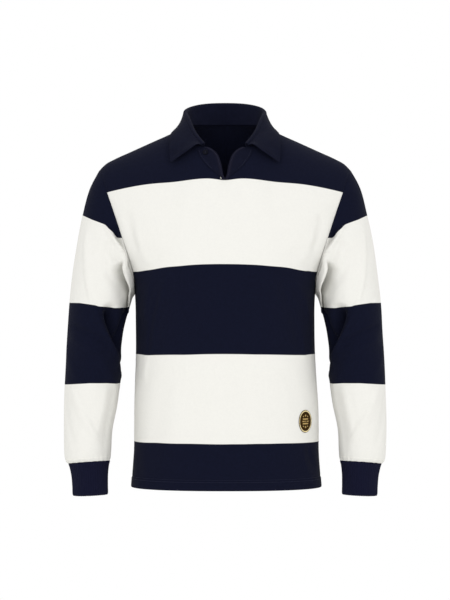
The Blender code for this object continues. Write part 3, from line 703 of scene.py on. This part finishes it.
# Turn from the outer side (front is under 0.5) and height of a crease's two ends, then as above
SLEEVE_CREASES = np.array([
    (0.238, -345, 0.435, -450, 7, 4.5, 6, 0.6),
    (0.306, -357, 0.470, -440, 14, -29.0, 4, -0.35),
    (0.445, -360, 0.470, -430, 11, -10.0, 2, 0.0),
    (0.11, -386, 0.335, -424, 9, -4.2, -4, 0.3),
    (0.11, -410, 0.30, -446, 12, 2.6, -4, 0.0),
    (0.145, -520, 0.314, -608, 11, 3.2, 3, 0.3),
    (0.338, -512, 0.316, -604, 12, 1.6, 0, 0.0),
    (0.06, -528, 0.17, -628, 13, -1.8, 3, 0.0),
    (0.395, -510, 0.375, -640, 14, -1.5, 0, 0.0),
    (0.115, -196, 0.222, -338, 8, 2.8, 4, -0.4),
    (0.245, -214, 0.312, -262, 8, -4.0, 4, 0.3),
    (0.225, -222, 0.300, -300, 9, -3.6, 5, 0.3),
    (0.30, -452, 0.44, -516, 13, 1.8, 3, 0.0),
    (0.05, -430, 0.20, -500, 14, 1.4, 3, 0.0),
    (0.62, -360, 0.88, -430, 13, -4.0, 5, 0.3),
    (0.58, -400, 0.80, -470, 12, 3.5, 5, 0.3),
    (0.64, -540, 0.84, -620, 13, -3.0, 4, 0.0),
    (0.56, -380, 0.74, -410, 9, -2.4, 4, 0.4),
    (0.60, -440, 0.76, -512, 11, -2.4, 4, 0.3),
    (0.62, -262, 0.56, -345, 10, -6.0, 3, 0.4),
    (0.90, -200, 0.76, -350, 13, 2.6, 4, 0.3),
    (0.78, -560, 0.66, -650, 11, 2.4, 4, 0.0),
    (0.95, -520, 0.86, -640, 13, 1.8, 4, 0.0),
    (0.50, -520, 0.52, -640, 12, -2.0, 2, 0.0),
    (0.46, -446, 0.56, -470, 8, -2.4, 2, 0.3),
    (0.45, -474, 0.55, -492, 8, 1.8, 2, 0.3),
])
OWN_CREASES = {  # what only one sleeve has: the wearer's left, then the right
    1: np.array([
        (0.36, -448, 0.24, -456, 7, -2.0, 2, 0.2),
        (0.30, -452, 0.25, -474, 6, -1.4, 1, 0.0),
        (0.20, -225, 0.24, -330, 12, -1.2, 3, 0.0),
    ]),
    -1: np.array([
        (0.33, -440, 0.24, -462, 9, -1.4, 2, 0.0),
        (0.17, -215, 0.25, -318, 12, -1.2, -3, 0.0),
    ]),
}
# Under the arm a deep trough runs down and in, and a ridge beside it leans over it. They are pushed
# straight back and forth, not along the cloth's own normal, and sideways by a share of that, which
# fades out between these two turns.
UNDERARM_FOLDS = np.array([
    (0.318, -268, 0.405, -318, 11, -30.0, 3, 0.5),
    (0.345, -288, 0.450, -356, 11, -32.0, 2, 0.5),
    (0.335, -262, 0.462, -336, 6, 19.0, 3, 0.0),
])
LEAN_SHARE, LEAN_FROM, LEAN_TO = 0.3, 0.36, 0.43
# The fold that lies along the lower armhole: height, how far its crest is from the seam, how deep
# the hollow between them is
ARMHOLE_FOLD = np.array([
    (-320, 6, 4.0), (-300, 6, 6.0), (-280, 6.5, 9.0), (-262, 6, 11.0), (-250, 5, 3.0),
    (-240, 5, 1.0), (-230, 9, 6.0), (-220, 15, 12.0), (-208, 21, 15.0), (-196, 25, 6.0),
    (-186, 27, 0.0),
])
CREST_HEIGHT, CREST_WIDTH = 3.6, 8.0
# The cuff's seam is a ring that tips: it is higher on its inner and front sides by these amounts
SEAM_LIFT_INSIDE, SEAM_LIFT_FRONT, SEAM_LIFT_FADE = 6.5, 3.5, 60.0
PUCKERS, PUCKER_HEIGHT, PUCKER_REACH = 19, 0.35, 14.0  # small gathers where the cuff is sewn on


def numbered(table):
    return np.column_stack([np.arange(len(table)), table])


def armhole_loop(turn):
    """The armhole seam: turn 0 at the shoulder, 0.25 in front, 0.5 under the arm."""
    side = np.where(turn <= 0.5, -1, 1)
    z = UNDERARM_Z + (TIP_Z - UNDERARM_Z) * (1 + np.cos(2 * np.pi * turn)) / 2
    x = curve_through(ARMHOLE, z, 1)
    return np.stack([x, side * body_depth(x, z, side), z], axis=-1)


def ring_point(table, row, turn, exponent):
    """An ellipse, squared by the exponent, between the outer and inner edge of a row of the table."""
    rows = numbered(table)
    outer_x, outer_z, inner_x, inner_z, depth, forward = (
        curve_through(rows, row, column) for column in range(1, 7)
    )
    cos, sin = (
        np.sign(part) * np.abs(part) ** (2 / exponent)
        for part in (np.cos(2 * np.pi * turn), np.sin(2 * np.pi * turn))
    )
    x = (outer_x + inner_x) / 2 + (outer_x - inner_x) / 2 * cos
    z = (outer_z + inner_z) / 2 + (outer_z - inner_z) / 2 * cos
    return np.stack([x, -forward - depth * sin + 0 * x, z], axis=-1)


def sleeve_point(row, turn):
    """The ellipse of its row, pulled towards the armhole's own outline at the top."""
    ring = ring_point(SLEEVE, row, turn, SLEEVE_ROUNDNESS)
    start = ring_point(SLEEVE, 0 * row, turn, SLEEVE_ROUNDNESS)
    seam = armhole_loop(turn) + (ARMHOLE_ROOM, 0, 0)
    return ring + (seam - start) * (1 - smooth_step(row / CAP_ROWS))[..., None]


def seam_lift(turn):
    """How much higher the cuff's seam lies at a turn: a tipped ring."""
    wave = 2 * np.pi * turn
    return SEAM_LIFT_INSIDE / 2 * (1 - np.cos(wave)) + SEAM_LIFT_FRONT * np.sin(wave)


def sleeve_stripe(x, z):
    """0 to 1 is navy, 1 to 2 white, and so on down, straight between the sleeve's lines."""
    first, second, third = (
        np.interp(x, *table.T) for table in (SHOULDER_LINE, ELBOW_LINE, FOREARM_LINE)
    )
    lines = [first + WHOLE_STRIPE, first, second, third, third - WHOLE_STRIPE]
    return sum(np.clip((top - z) / (top - low), 0, 1) for top, low in zip(lines, lines[1:]))


def sleeve_creases(creases, turn, z):
    """The creases' height at a turn and height: the table is repeated one turn on and one back."""
    return sum(crease_height(creases, turn + k, z, SLEEVE_GIRTH) for k in (-1, 0, 1))


def armhole_fold(turn, z, from_seam):
    """A hollow beside the seam and a crest beyond it, on the lower front and, weaker, the lower back."""
    heights, away, depth = ARMHOLE_FOLD.T
    away, depth = np.interp(z, heights, away), np.interp(z, heights, depth)
    share = smooth_step((0.5 - np.abs(turn - 0.5)) / 0.2) * np.where(turn < 0.5, 1.0, 0.6)
    hollow = -depth * np.exp(-(((from_seam / away - 0.45) / 0.32) ** 2)) * smooth_step(from_seam / 2.5)
    crest = np.exp(-(((from_seam - away - 5) / CREST_WIDTH) ** 2))
    crest *= CREST_HEIGHT * smooth_step(depth / 2)
    return share * (hollow + crest)


def sleeve_shell(hand, name):
    row = np.concatenate([
        [0, 0.02, 0.045, 0.08, 0.13, 0.19], np.linspace(0.26, 13.4, 208), np.linspace(13.46, 14, 8),
    ])[:, None]
    turn = np.concatenate([
        np.linspace(0, 0.28, 38)[:-1], np.linspace(0.28, 0.5, 61)[:-1], np.linspace(0.5, 1, 71),
    ])[None, :]
    row, turn = np.broadcast_arrays(row, turn)
    points = sleeve_point(row, turn)
    from_cuff, from_seam = run_from_end(points, 0), run_from_start(points, 0)
    points[..., 2] += seam_lift(turn) * smooth_step(1 - from_cuff / SEAM_LIFT_FADE)
    x, z = points[..., 0], points[..., 2]
    wave = 2 * np.pi * turn
    crease = sleeve_creases(np.concatenate([SLEEVE_CREASES, OWN_CREASES[hand]]), turn, z)
    crease += 0.5 * np.sin(3 * wave + z / 41) * np.sin(z / 37 + 2 * np.sin(wave) + hand)
    crease *= smooth_step(from_seam / 20) * smooth_step(from_cuff / 22)
    push = sleeve_creases(UNDERARM_FOLDS, turn, z) * smooth_step(from_seam / 8)
    points[..., 0] += push * LEAN_SHARE * smooth_step((LEAN_TO - turn) / (LEAN_TO - LEAN_FROM))
    points[..., 1] -= push
    crease += armhole_fold(turn, z, from_seam)
    from_underarm_seam = (turn - 0.5) * SLEEVE_GIRTH
    dip = -SEAM_DIP * sum(
        np.exp(-((run / SEAM_REACH) ** 2)) for run in (from_seam, from_cuff, from_underarm_seam)
    )
    gathers = np.cos(PUCKERS * wave + 1.4 * np.sin(3 * wave) + 0.8 * np.sin(5 * wave + 1))
    gathers = PUCKER_HEIGHT * gathers * np.exp(-((from_cuff / PUCKER_REACH) ** 2))
    across = run_from_start(points, 1)
    knit = np.stack([across, from_cuff], axis=-1)
    stripe = sleeve_stripe(x, z)
    grid = (points * (hand, 1, 1), knit, stripe, crease + dip + gathers, hand < 0)
    return wall_piece(name, [grid], CLOTH, jersey)


# The cuffs. Each is a double band of navy rib, knitted narrower than the sleeve and stretched on
# to it. The ribs are full-height columns, close together, and the mouth is the band's fold.
CUFF = np.array([
    (316.8, -666.4, 231.6, -666.4, 41.0, 23),
    (313.2, -674, 234.8, -673.2, 40.4, 23.2),
    (310.0, -690, 236.2, -688.5, 39.4, 24),
    (308.8, -710, 235.8, -708.6, 38.8, 25),
    (308.3, -724.5, 235.4, -722.5, 38.5, 25.8),
    (306.8, -728.5, 236.6, -726.4, 37.0, 26),
])
CUFF_WALL, RIBS, RIB_HEIGHT = 2.4, 48, 0.9
RIB_WALE, RIB_COURSE, RIB_RELIEF = 1.4, 1.3, 0.35  # the stitches on the ribs
CUFF_LAP, CUFF_PITCH = 9.0, 3.0  # the white line over the cuff: its distance and its stitches' pitch

rib_knit, tree, shader = cloth_material("navy cotton rib knit", 0.95, 0.012)
_, colour = mottled(tree, "#0C0E1E", "#141529", Scale=260.0, Detail=4.0, Roughness=0.7)
cover(tree, shader, colour, knit_bump(tree, RIB_WALE, RIB_COURSE, RIB_RELIEF))


def cuff_shell(hand, name):
    row = np.concatenate([[0, 0.12, 0.3], np.linspace(0.6, len(CUFF) - 1, 22)])[:, None]
    turn = np.linspace(0, 1, 8 * RIBS + 1)[None, :]
    row, turn = np.broadcast_arrays(row, turn)
    points = ring_point(CUFF, row, turn, 2.0)
    points[..., 2] += seam_lift(turn) * (1 - row / (len(CUFF) - 1)) ** 2
    crest = (0.5 - 0.5 * np.cos(2 * np.pi * RIBS * turn)) ** 0.7
    from_mouth, from_seam = run_from_end(points, 0), run_from_start(points, 0)
    height = -RIB_HEIGHT * (1 - crest) - 0.7 * np.exp(-((from_seam / 2) ** 2))
    height += 0.5 * np.sin(4 * np.pi * turn + row * 1.3) * smooth_step(from_seam / 12)
    across = run_from_start(points, 1)
    knit = np.stack([across, from_mouth], axis=-1)
    return wall_piece(name, [(points * (hand, 1, 1), knit, 0 * row, height, hand < 0)], CUFF_WALL,
                      rib_knit, rim_steps=6)


below_cap = slice(74, None)  # the rows below a sleeve's cap
for hand, wearer in ((1, "left"), (-1, "right")):
    sleeve, sleeve_grids, sleeve_normals = sleeve_shell(hand, f"sleeve_{wearer}_jersey")
    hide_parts(f"sleeve_{wearer}")
    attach(sleeve, "root")
    from_cuff = run_from_end(sleeve_grids[0], 0)[:, 0]
    lap = np.abs(from_cuff - CUFF_LAP).argmin()
    stitches = sewing(f"sleeve_{wearer}_stitches", [(sleeve_grids[0][lap], sleeve_normals[0][lap])],
                      CUFF_PITCH, white_thread)
    cut_from(sleeve, sleeve_grids, "hung", stitches, level=below_cap)
    cuff, cuff_grids, _ = cuff_shell(hand, f"cuff_{wearer}_rib")
    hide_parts(f"cuff_{wearer}")
    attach(cuff, "root")
    cut_from(cuff, cuff_grids, "stretched")

# The collar. Two layers of navy cotton twill, pressed and topstitched near the edge. It is sewn
# on round the neck, stands up, rolls over and falls to two points.
# Place along it, place of its seam on the neck edge, x, y, z of the roll, x, y, z of the fall's
# edge, how far the fall bows out
COLLAR = np.array([
    (0.00, 0.0, 0.0, 60, 68.5, 0.0, 84, 10.0, 4.5),
    (0.20, 0.3, 45.0, 52, 65.5, 48.0, 74, 9.0, 4.0),
    (0.38, 0.58, 73.0, 31, 57.0, 82.0, 50, 10.0, 1.0),
    (0.52, 0.9, 81.0, 6, 47.5, 100.0, 4, 8.5, -2.0),
    (0.66, 1.1, 75.5, -22, 33.0, 108.7, -38, -2.5, -1.0),
    (0.83, 1.36, 62.5, -57, 4.0, 109.8, -69, -29.5, 2.0),
    (1.00, 2.0, 43.7, -84, -23.0, 108.0, -87, -62.0, 7.0),
])
# At both ends the fall leaves the roll level before it turns down: how far that lifts it along X,
# Y and Z, at what share of its depth, and how soon that dies away from the end
END_LIFT, END_LIFT_AT, END_LIFT_POWER = (0.0, -4.0, 5.0), 0.15, 24
COLLAR_END_X, NECK_AXIS = 44.0, np.array([0.0, -8.0, 0.0])
STAND_ROOM, STAND_INSET, ROLL_RADIUS, ROLL_RADIUS_AT_END, BOW_TILT = 0.6, 2.2, 3.2, 2.6, 0.9
TWILL_WALL = 1.8
TOPSTITCH, TWILL_PITCH = 5.5, 2.8  # the topstitching: distance from the edge, stitch to stitch
GROOVE_TO, RIPPLE_TO, RIPPLE_FADE = 70.0, 60.0, 20.0  # how far up from the edge the fall's relief goes
FALL_STEPS, END_ROWS_LEFT = 40, 4  # rows of the fall, and those that the end's stitches leave free
TWILL_LINE = 1.1  # from one diagonal of the twill to the next, along the cloth
TIP_RADIUS = 6.0  # the points of the collar are turned out, so they are a little blunt

twill, tree, shader = cloth_material("navy cotton twill", 0.85, 0.012)
knit = node(tree, "ShaderNodeUVMap", {}, uv_map="knit")
parts = node(tree, "ShaderNodeSeparateXYZ", {0: knit.outputs[0]})
rising = node(tree, "ShaderNodeMath", {0: parts.outputs[0], 1: 0.6, 2: parts.outputs[1]},
              operation="MULTIPLY_ADD")
turn = node(tree, "ShaderNodeMath", {0: rising.outputs[0], 1: 2 * np.pi / (TWILL_LINE * MM)},
            operation="MULTIPLY")
line = node(tree, "ShaderNodeMath", {0: turn.outputs[0]}, operation="SINE")
slub, deep_navy = mottled(tree, "#090B18", "#101222", Scale=90.0, Detail=4.0, Roughness=0.6)
uneven = node(tree, "ShaderNodeBump", {"Height": slub, "Strength": 0.3, "Distance": 0.001})
bump = node(tree, "ShaderNodeBump", {"Height": line.outputs[0], "Strength": 0.5, "Distance": 0.00012,
                                     "Normal": uneven.outputs[0]})
# Where the stripe attribute is 1, on the placket strips' folded edge, the twill is painted paler: a
# painted highlight where the fold catches light.
fold_highlight = node(tree, "ShaderNodeAttribute", {}, attribute_name="stripe")
colour = node(tree, "ShaderNodeMix", {0: fold_highlight.outputs["Fac"], 6: deep_navy, 7: linear("#131320")},
              data_type="RGBA")
cover(tree, shader, colour.outputs[2], bump)


def neck_edge(place):
    """The panels' neck edge: 0 in the middle of the back, 1 at the neck point, 2 at the front end."""
    on_back = place <= 1
    back_x = NECK_POINT_X * np.sin(np.clip(place, 0, 1) * np.pi / 2)
    front_x = NECK_POINT_X + (COLLAR_END_X - NECK_POINT_X) * np.clip(place - 1, 0, 1)
    x = np.where(on_back, back_x, front_x)
    z = np.where(on_back, back_neck_height(back_x), curve_through(NECKLINE, front_x, 1))
    y = np.where(on_back, body_depth(x, z, 1), -body_depth(x, z, -1))
    return np.stack([x, y, z], axis=-1)


def collar_grid(along=170, stand_steps=12, roll_steps=12, fall_steps=FALL_STEPS):
    """Each column goes straight up the stand, half round the roll and down the bowed fall.

    The fall's rows lie closer towards its edge. Near both ends the fall is lifted by the square of
    s e^(1 - s), which is 1 where s is 1 and soon dies away.
    """
    mirrored = COLLAR[:0:-1] * (-1, 1, -1, 1, 1, -1, 1, 1, 1)
    table = np.concatenate([mirrored, COLLAR])
    place = np.sin(np.linspace(-1, 1, along + 1) * np.pi / 2 * 0.96) / np.sin(np.pi / 2 * 0.96)
    hand = np.where(place < 0, -1, 1)[:, None] ** np.array([1, 0, 0])
    base = neck_edge(curve_through(COLLAR, np.abs(place), 1))
    base = (base + unit((NECK_AXIS - base) * (1, 1, 0)) * STAND_INSET + (0, 0, STAND_ROOM)) * hand
    roll, edge = (np.stack([curve_through(table, place, c) for c in columns], -1)
                  for columns in ((2, 3, 4), (5, 6, 7)))
    bow = curve_through(table, place, 8)[:, None]
    radius = (ROLL_RADIUS + (ROLL_RADIUS_AT_END - ROLL_RADIUS) * place**4)[:, None]
    up = unit(roll - base)
    out = edge - roll
    out = unit(out - up * (out * up).sum(-1, keepdims=True))
    centre = roll - up * radius
    stand_top, fall_top = centre - out * radius, centre + out * radius
    rows = [base + (stand_top - base) * t for t in np.linspace(0, 1, stand_steps + 1)[:-1]]
    for angle in np.linspace(0, np.pi, roll_steps + 1):
        rows.append(centre + radius * (up * np.sin(angle) - out * np.cos(angle)))
    crown = unit(out + up * BOW_TILT)
    for step in np.linspace(0, 1, fall_steps + 1)[1:]:
        t = step * (1.35 - 0.35 * step)
        s = t / END_LIFT_AT
        lift = np.outer(place**END_LIFT_POWER * (s * np.exp(1 - s)) ** 2, END_LIFT)
        rows.append(fall_top + (edge - fall_top) * t + crown * bow * np.sin(np.pi * t) + lift)
    return np.stack(rows)


def blunt_corner(points, from_edge, from_end, side):
    """Turns a square corner into a round one: the unit square's corner goes on the unit circle."""
    u, v = np.clip(1 - from_edge / TIP_RADIUS, 0, 1), np.clip(1 - from_end / TIP_RADIUS, 0, 1)
    far = np.hypot(u, v)
    pull = TIP_RADIUS * (1 - np.where(far > 0, np.maximum(u, v) / np.maximum(far, 1e-9), 1))
    corner, up, inward = points[-1, side], points[-2, side], points[-1, 2 if side == 0 else -3]
    ways = u[..., None] * unit(up - corner) + v[..., None] * unit(inward - corner)
    return points + pull[..., None] * ways


def line_at(grid, normals, run, distance):
    """The line across a grid's rows where run, which grows along each row, passes a distance."""
    rows = np.arange(len(run))
    after = np.clip((run < distance).sum(axis=1), 1, run.shape[1] - 1)
    low, high = run[rows, after - 1], run[rows, after]
    t = ((distance - low) / (high - low))[:, None]
    return tuple(part[rows, after - 1] * (1 - t) + part[rows, after] * t for part in (grid, normals))


points = collar_grid()
from_edge, from_left = run_from_end(points, 0), run_from_end(points, 1)
from_right = run_from_start(points, 1)
points = blunt_corner(blunt_corner(points, from_edge, from_left, -1), from_edge, from_right, 0)
from_ends = np.minimum(from_left, from_right)
inside = np.minimum(from_edge, from_ends)
groove = -0.3 * np.exp(-(((inside - TOPSTITCH) / 1.5) ** 2)) * (from_edge < GROOVE_TO)
ripple = 0.4 * np.sin(from_right / 13 + 0.8 * np.sin(from_edge / 17))
ripple = ripple * smooth_step(inside / 12) * smooth_step((RIPPLE_TO - from_edge) / RIPPLE_FADE)
knit = np.stack([from_right, from_edge], axis=-1)
collar, collar_grids, collar_normals = wall_piece(
    "collar_twill", [(points, knit, 0 * from_edge, groove + ripple, True)], TWILL_WALL, twill)
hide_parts("collar")
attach(collar, "root")
outside, facing = collar_grids[0], collar_normals[0]
fall = slice(-FALL_STEPS, None)
edge_line = line_at(outside[::-1].swapaxes(0, 1), facing[::-1].swapaxes(0, 1), from_edge[::-1].T,
                    TOPSTITCH)
keep = slice(*np.flatnonzero(from_ends[-1] > TOPSTITCH)[[0, -1]])
end_lines = []
for flip in (1, -1):
    run = (from_right if flip > 0 else from_left)[fall, ::flip]
    line = line_at(outside[fall, ::flip], facing[fall, ::flip], run, TOPSTITCH)
    end_lines.append(tuple(part[:-END_ROWS_LEFT] for part in line))
stitches = sewing("collar_stitches", [tuple(part[keep] for part in edge_line), *end_lines],
                  TWILL_PITCH, navy_thread)
cut_from(collar, collar_grids, "folded", stitches)

# The strips that face the neck slit, in the same twill, laid on the front and stitched down along
# both edges. A bar of white thread holds the bottom of the slit.
STRIP = 1.5
STRIP_GROOVE, STRIP_GROOVE_AT, STRIP_GROOVE_REACH = 0.3, 3.0, 1.2  # along the outer edge's stitches
STRIP_TOPSTITCH, NEAR_FROM, FAR_FROM = 2.6, 8, 24  # distance in, and the rows where the lines start
FOLD_WIDTH, FOLD_FADE, FOLD_HEIGHT = 7.0, 2.4, 1.0  # the folded edge along the slit: its width, fade and rise; it is also painted paler, a painted highlight where the fold catches light
PLACKET = np.array([
    (0.6, -95.5, 3.0, -97.0),
    (3.9, -87.0, 13.0, -87.0),
    (7.4, -68.0, 34.0, -69.0),
    (13.2, -49.5, 48.0, -51.0),
    (22.2, -38.2, 52.5, -42.0),
    (34.0, -31.4, 54.5, -36.0),
])


def body_normal(x, z, side=-1, step=0.5):
    along_x = body_point(x + step, z, side) - body_point(x - step, z, side)
    along_z = body_point(x, z + step, side) - body_point(x, z - step, side)
    return -np.reshape(side, np.shape(side) + (1,)) * unit(np.cross(along_x, along_z))


def on_front(x, z, lift):
    """A point of the front with its creases, moved straight out."""
    height = body_creases(FRONT_CREASES, x, z) + lift
    return body_point(x, z, -1) + body_normal(x, z) * np.asarray(height)[..., None]


for hand, wearer in ((1, "left"), (-1, "right")):
    rows = numbered(PLACKET)
    row = np.linspace(0, len(PLACKET) - 1, 70)[:, None]
    near_x, near_z, far_x, far_z = (curve_through(rows, row, c) for c in range(1, 5))
    t = np.linspace(0, 1, 24)
    x, z = hand * (near_x + (far_x - near_x) * t), near_z + (far_z - near_z) * t
    points = on_front(x, z, SEAM + STRIP)
    from_far, from_near = run_from_end(points, 1), run_from_start(points, 1)
    # fold raises the edge by FOLD_HEIGHT and, as the stripe attribute, paints it paler: a painted
    # highlight.
    fold = smooth_step((FOLD_WIDTH - from_near) / FOLD_FADE)
    height = FOLD_HEIGHT * fold
    height -= STRIP_GROOVE * np.exp(-(((from_far - STRIP_GROOVE_AT) / STRIP_GROOVE_REACH) ** 2))
    knit = np.stack([from_near, run_from_end(points, 0)], axis=-1)
    strip, grids, normals = wall_piece(
        f"placket_{wearer}_twill", [(points, knit, fold, height, hand < 0)], STRIP, twill)
    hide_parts(f"placket_{wearer}")
    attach(strip, "root")
    strip_lines = [
        line_at(grids[0][rows], normals[0][rows], run[rows], STRIP_TOPSTITCH)
        for run, rows in ((from_near, np.s_[NEAR_FROM:]), (from_far, np.s_[FAR_FROM:, ::-1]))
    ]
    stitches = sewing(f"placket_{wearer}_stitches", strip_lines, TWILL_PITCH, navy_thread)
    cut_from(strip, grids, "hung", stitches)


def satin(centre_x, centre_z, half_length, half_height, pitch, lift, oval=False, slope=1.0):
    """Level threads stacked to fill a bar or an oval on the front: their starts, ends and normals."""
    up = np.arange(-half_height + pitch / 2, half_height, pitch)
    reach = half_length * (np.sqrt(1 - (up / half_height) ** 2) if oval else np.ones_like(up))
    z = centre_z + up
    start, end = (on_front(centre_x + slope * side * reach, z, lift) for side in (-1, 1))
    return start, end, body_normal(centre_x + 0 * z, z)


def thread_block(name, blocks, radius, material):
    """One piece from blocks of threads."""
    joined = [np.concatenate(parts) for parts in zip(*blocks)]
    piece = mesh_piece(name, *strands(*joined, radius, radius * 0.8), material)
    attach(piece, "root")
    return piece


# The bar of white thread lies across the bottom of the slit, on the wearer's right
TACK_X, TACK_Z, TACK_HALF_LENGTH, TACK_HALF_HEIGHT, TACK_PITCH = -6.6, -92.6, 2.6, 1.7, 0.5
thread_block("slit_tack", [satin(TACK_X, TACK_Z, TACK_HALF_LENGTH, TACK_HALF_HEIGHT, TACK_PITCH, 0.25)],
             0.3, white_thread)

# The top button, on the wearer's right strip: moulded rubber, dull and navy, with a raised rim and
# four holes, and a cross of thread that holds it on.
BUTTON_X, BUTTON_Z, BUTTON_RADIUS, BUTTON_HEIGHT = -38.5, -42.0, 5.5, 2.6
BUTTON_PROFILE = np.array([  # share of the radius, share of the height, from the back to the middle
    (0.0, 0.0), (0.6, 0.0), (0.92, 0.0), (0.985, 0.1), (1.0, 0.25), (1.0, 0.7), (0.975, 0.88),
    (0.92, 0.98), (0.86, 1.0), (0.79, 0.97), (0.72, 0.86), (0.66, 0.76), (0.5, 0.72), (0.0, 0.72),
])
BUTTON_FACE = 0.72  # height of the sunk face, as a share of the button's
HOLE_RADIUS, HOLE_OFF, HOLE_DEPTH = 0.85, 1.45, 1.3
THREADS_APART = 0.16  # half the distance between the two threads of a pair

rubber, tree, shader = material("dull navy rubber", {"Roughness": 0.55, "Specular IOR Level": 0.06})
bloom, colour = mottled(tree, "#06070F", "#0B0C16", Scale=900.0, Detail=3.0)
bump = node(tree, "ShaderNodeBump", {"Height": bloom, "Strength": 0.15, "Distance": 0.0002})
cover(tree, shader, colour, bump)


def turned(profile, radius, height, around, steps):
    """A turned solid: the profile is carried round, resampled by its run, and its poles are welded."""
    shape = profile * (radius, height)
    run = run_along(shape)
    at = np.linspace(0, run[-1], steps + 1)
    out, up = (np.interp(at, run, shape[:, axis]) for axis in (0, 1))
    angle = np.arange(around) / around * 2 * np.pi
    ring = np.stack([out[1:-1, None] * np.cos(angle), out[1:-1, None] * np.sin(angle),
                     up[1:-1, None] + 0 * angle], axis=-1).reshape(-1, 3)
    points = np.concatenate([ring, [(0, 0, up[0]), (0, 0, up[-1])]])
    ids = np.arange(len(ring)).reshape(-1, around)
    side = np.roll(ids, -1, axis=1)
    quads = np.stack([ids[:-1], side[:-1], side[1:], ids[1:]], -1).reshape(-1, 4)
    triangles = np.concatenate([quads[:, :3], quads[:, [0, 2, 3]]])
    caps = [np.stack([side[0], ids[0], 0 * ids[0] + len(ring)], 1),
            np.stack([ids[-1], side[-1], 0 * ids[-1] + len(ring) + 1], 1)]
    return points, np.concatenate([triangles, *caps])


points, faces = turned(BUTTON_PROFILE, BUTTON_RADIUS, BUTTON_HEIGHT, 72, 60)
holes = np.array([(a, b) for a in (-1, 1) for b in (-1, 1)]) * HOLE_OFF / np.sqrt(2)
away = np.linalg.norm(points[:, None, :2] - holes, axis=-1).min(axis=1)
on_top = points[:, 2] > BUTTON_HEIGHT * 0.6
points[:, 2] -= HOLE_DEPTH * smooth_step((HOLE_RADIUS * 1.25 - away) / (HOLE_RADIUS * 0.6)) * on_top
axis = body_normal(np.array([BUTTON_X]), np.array([BUTTON_Z]))[0]
foot = body_point(BUTTON_X, BUTTON_Z, -1) + axis * (2 * SEAM + STRIP)
level = unit(np.cross(axis, (0, 0, 1)))
turn_to = np.stack([-level, np.cross(axis, -level), axis])
button = mesh_piece("button_rubber", foot + points @ turn_to, faces, rubber)
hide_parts("button")
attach(button, "root")
cross = [(holes[0], holes[3]), (holes[1], holes[2])]
sunk = BUTTON_HEIGHT * BUTTON_FACE - 0.1
ends = np.array([[(*at, sunk) for at in pair] for pair in cross for _ in range(2)])
ends[:, :, 0] += THREADS_APART * np.array([-1, 1, -1, 1])[:, None]
start, end = (foot + ends[:, i] @ turn_to for i in (0, 1))
thread_block("button_thread", [(start, end, np.tile(axis, (4, 1)))], 0.24, navy_thread)

# A plain oval badge, low on the wearer's left: a patch of dark brown twill with an overlocked gold
# edge, and on it bars and dots in gold thread. It is sewn on over the side of the front.
BADGE_X, BADGE_Z, BADGE_HALF_WIDTH, BADGE_HALF_HEIGHT, BADGE_HEIGHT = 160.0, -577.0, 19.0, 22.0, 1.2
BADGE_SLOPE = 0.645  # the front turns away there, so a width along the cloth is shorter along X
EDGE_STITCHES, EDGE_SHARE = 168, 0.88
BADGE_MARKS = (  # bar or dot: across and up from the middle, half length, half height
    ("bar", 0.0, 4.6, 8.6, 1.25), ("bar", 0.0, 0.0, 10.2, 1.25), ("bar", 0.0, -4.6, 8.6, 1.25),
    ("dot", 0.0, 11.4, 1.9, 1.9), ("dot", -6.2, 9.8, 1.3, 1.3), ("dot", 6.2, 9.8, 1.3, 1.3),
    ("dot", 0.0, -11.4, 1.9, 1.9), ("dot", -6.2, -9.8, 1.3, 1.3), ("dot", 6.2, -9.8, 1.3, 1.3),
)

brown, tree, shader = cloth_material("brown embroidery twill", 0.8, 0.02)
place = node(tree, "ShaderNodeTexCoord", {})
weave = node(tree, "ShaderNodeTexWave", {"Vector": place.outputs["Object"], "Scale": 420.0},
             bands_direction="DIAGONAL")
colour = node(tree, "ShaderNodeMix", {0: weave.outputs["Fac"], 6: linear("#221400"),
                                      7: linear("#38250A")}, data_type="RGBA")
bump = node(tree, "ShaderNodeBump", {"Height": weave.outputs["Fac"], "Strength": 0.4,
                                     "Distance": 0.0002})
cover(tree, shader, colour.outputs[2], bump)


def gold_thread(name, dark, light):
    """Rayon thread: a soft gloss, and a little lighter and darker from stitch to stitch."""
    made, tree, shader = thread_material(name, dark, roughness=0.42)
    _, colour = mottled(tree, dark, light, Scale=800.0)
    tree.links.new(colour, shader.inputs["Base Color"])
    return made


def on_badge(across, up, lift):
    return on_front(BADGE_X + BADGE_SLOPE * across, BADGE_Z + up, SEAM + BADGE_HEIGHT + lift)


square = np.linspace(-1, 1, 49)
u, v = np.meshgrid(square, square)
disc_x, disc_z = u * np.sqrt(1 - v * v / 2), v * np.sqrt(1 - u * u / 2)
points = on_badge(BADGE_HALF_WIDTH * disc_x, BADGE_HALF_HEIGHT * disc_z, 0.0)
knit = np.stack([BADGE_HALF_WIDTH * disc_x, BADGE_HALF_HEIGHT * disc_z], axis=-1)
badge, badge_grids, _ = wall_piece(
    "badge_twill", [(points, knit, 0 * u, 0 * u, False)], BADGE_HEIGHT, brown)
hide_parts("badge")
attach(badge, "root")

angle = np.arange(EDGE_STITCHES) / EDGE_STITCHES * 2 * np.pi
oval = np.stack([BADGE_HALF_WIDTH * np.cos(angle), BADGE_HALF_HEIGHT * np.sin(angle)])
start, end = (on_badge(*(oval * share), lift) for share, lift in ((EDGE_SHARE, 0.15), (1.02, -0.5)))
facing = body_normal(BADGE_X + BADGE_SLOPE * oval[0], BADGE_Z + oval[1])
pale_gold = gold_thread("pale gold thread", "#D9C48A", "#F1E3B8")
badge_edge = thread_block("badge_edge", [(start, end, facing)], 0.42, pale_gold)
marks = [
    satin(BADGE_X + BADGE_SLOPE * across, BADGE_Z + up, half_length, half_height, 0.48,
          SEAM + BADGE_HEIGHT + 0.2, oval=kind == "dot", slope=BADGE_SLOPE)
    for kind, across, up, half_length, half_height in BADGE_MARKS
]
old_gold = gold_thread("old gold thread", "#A68A4E", "#C9AE74")
badge_marks = thread_block("badge_marks", marks, 0.3, old_gold)
cut_from(badge, badge_grids, "laid", badge_edge, badge_marks)
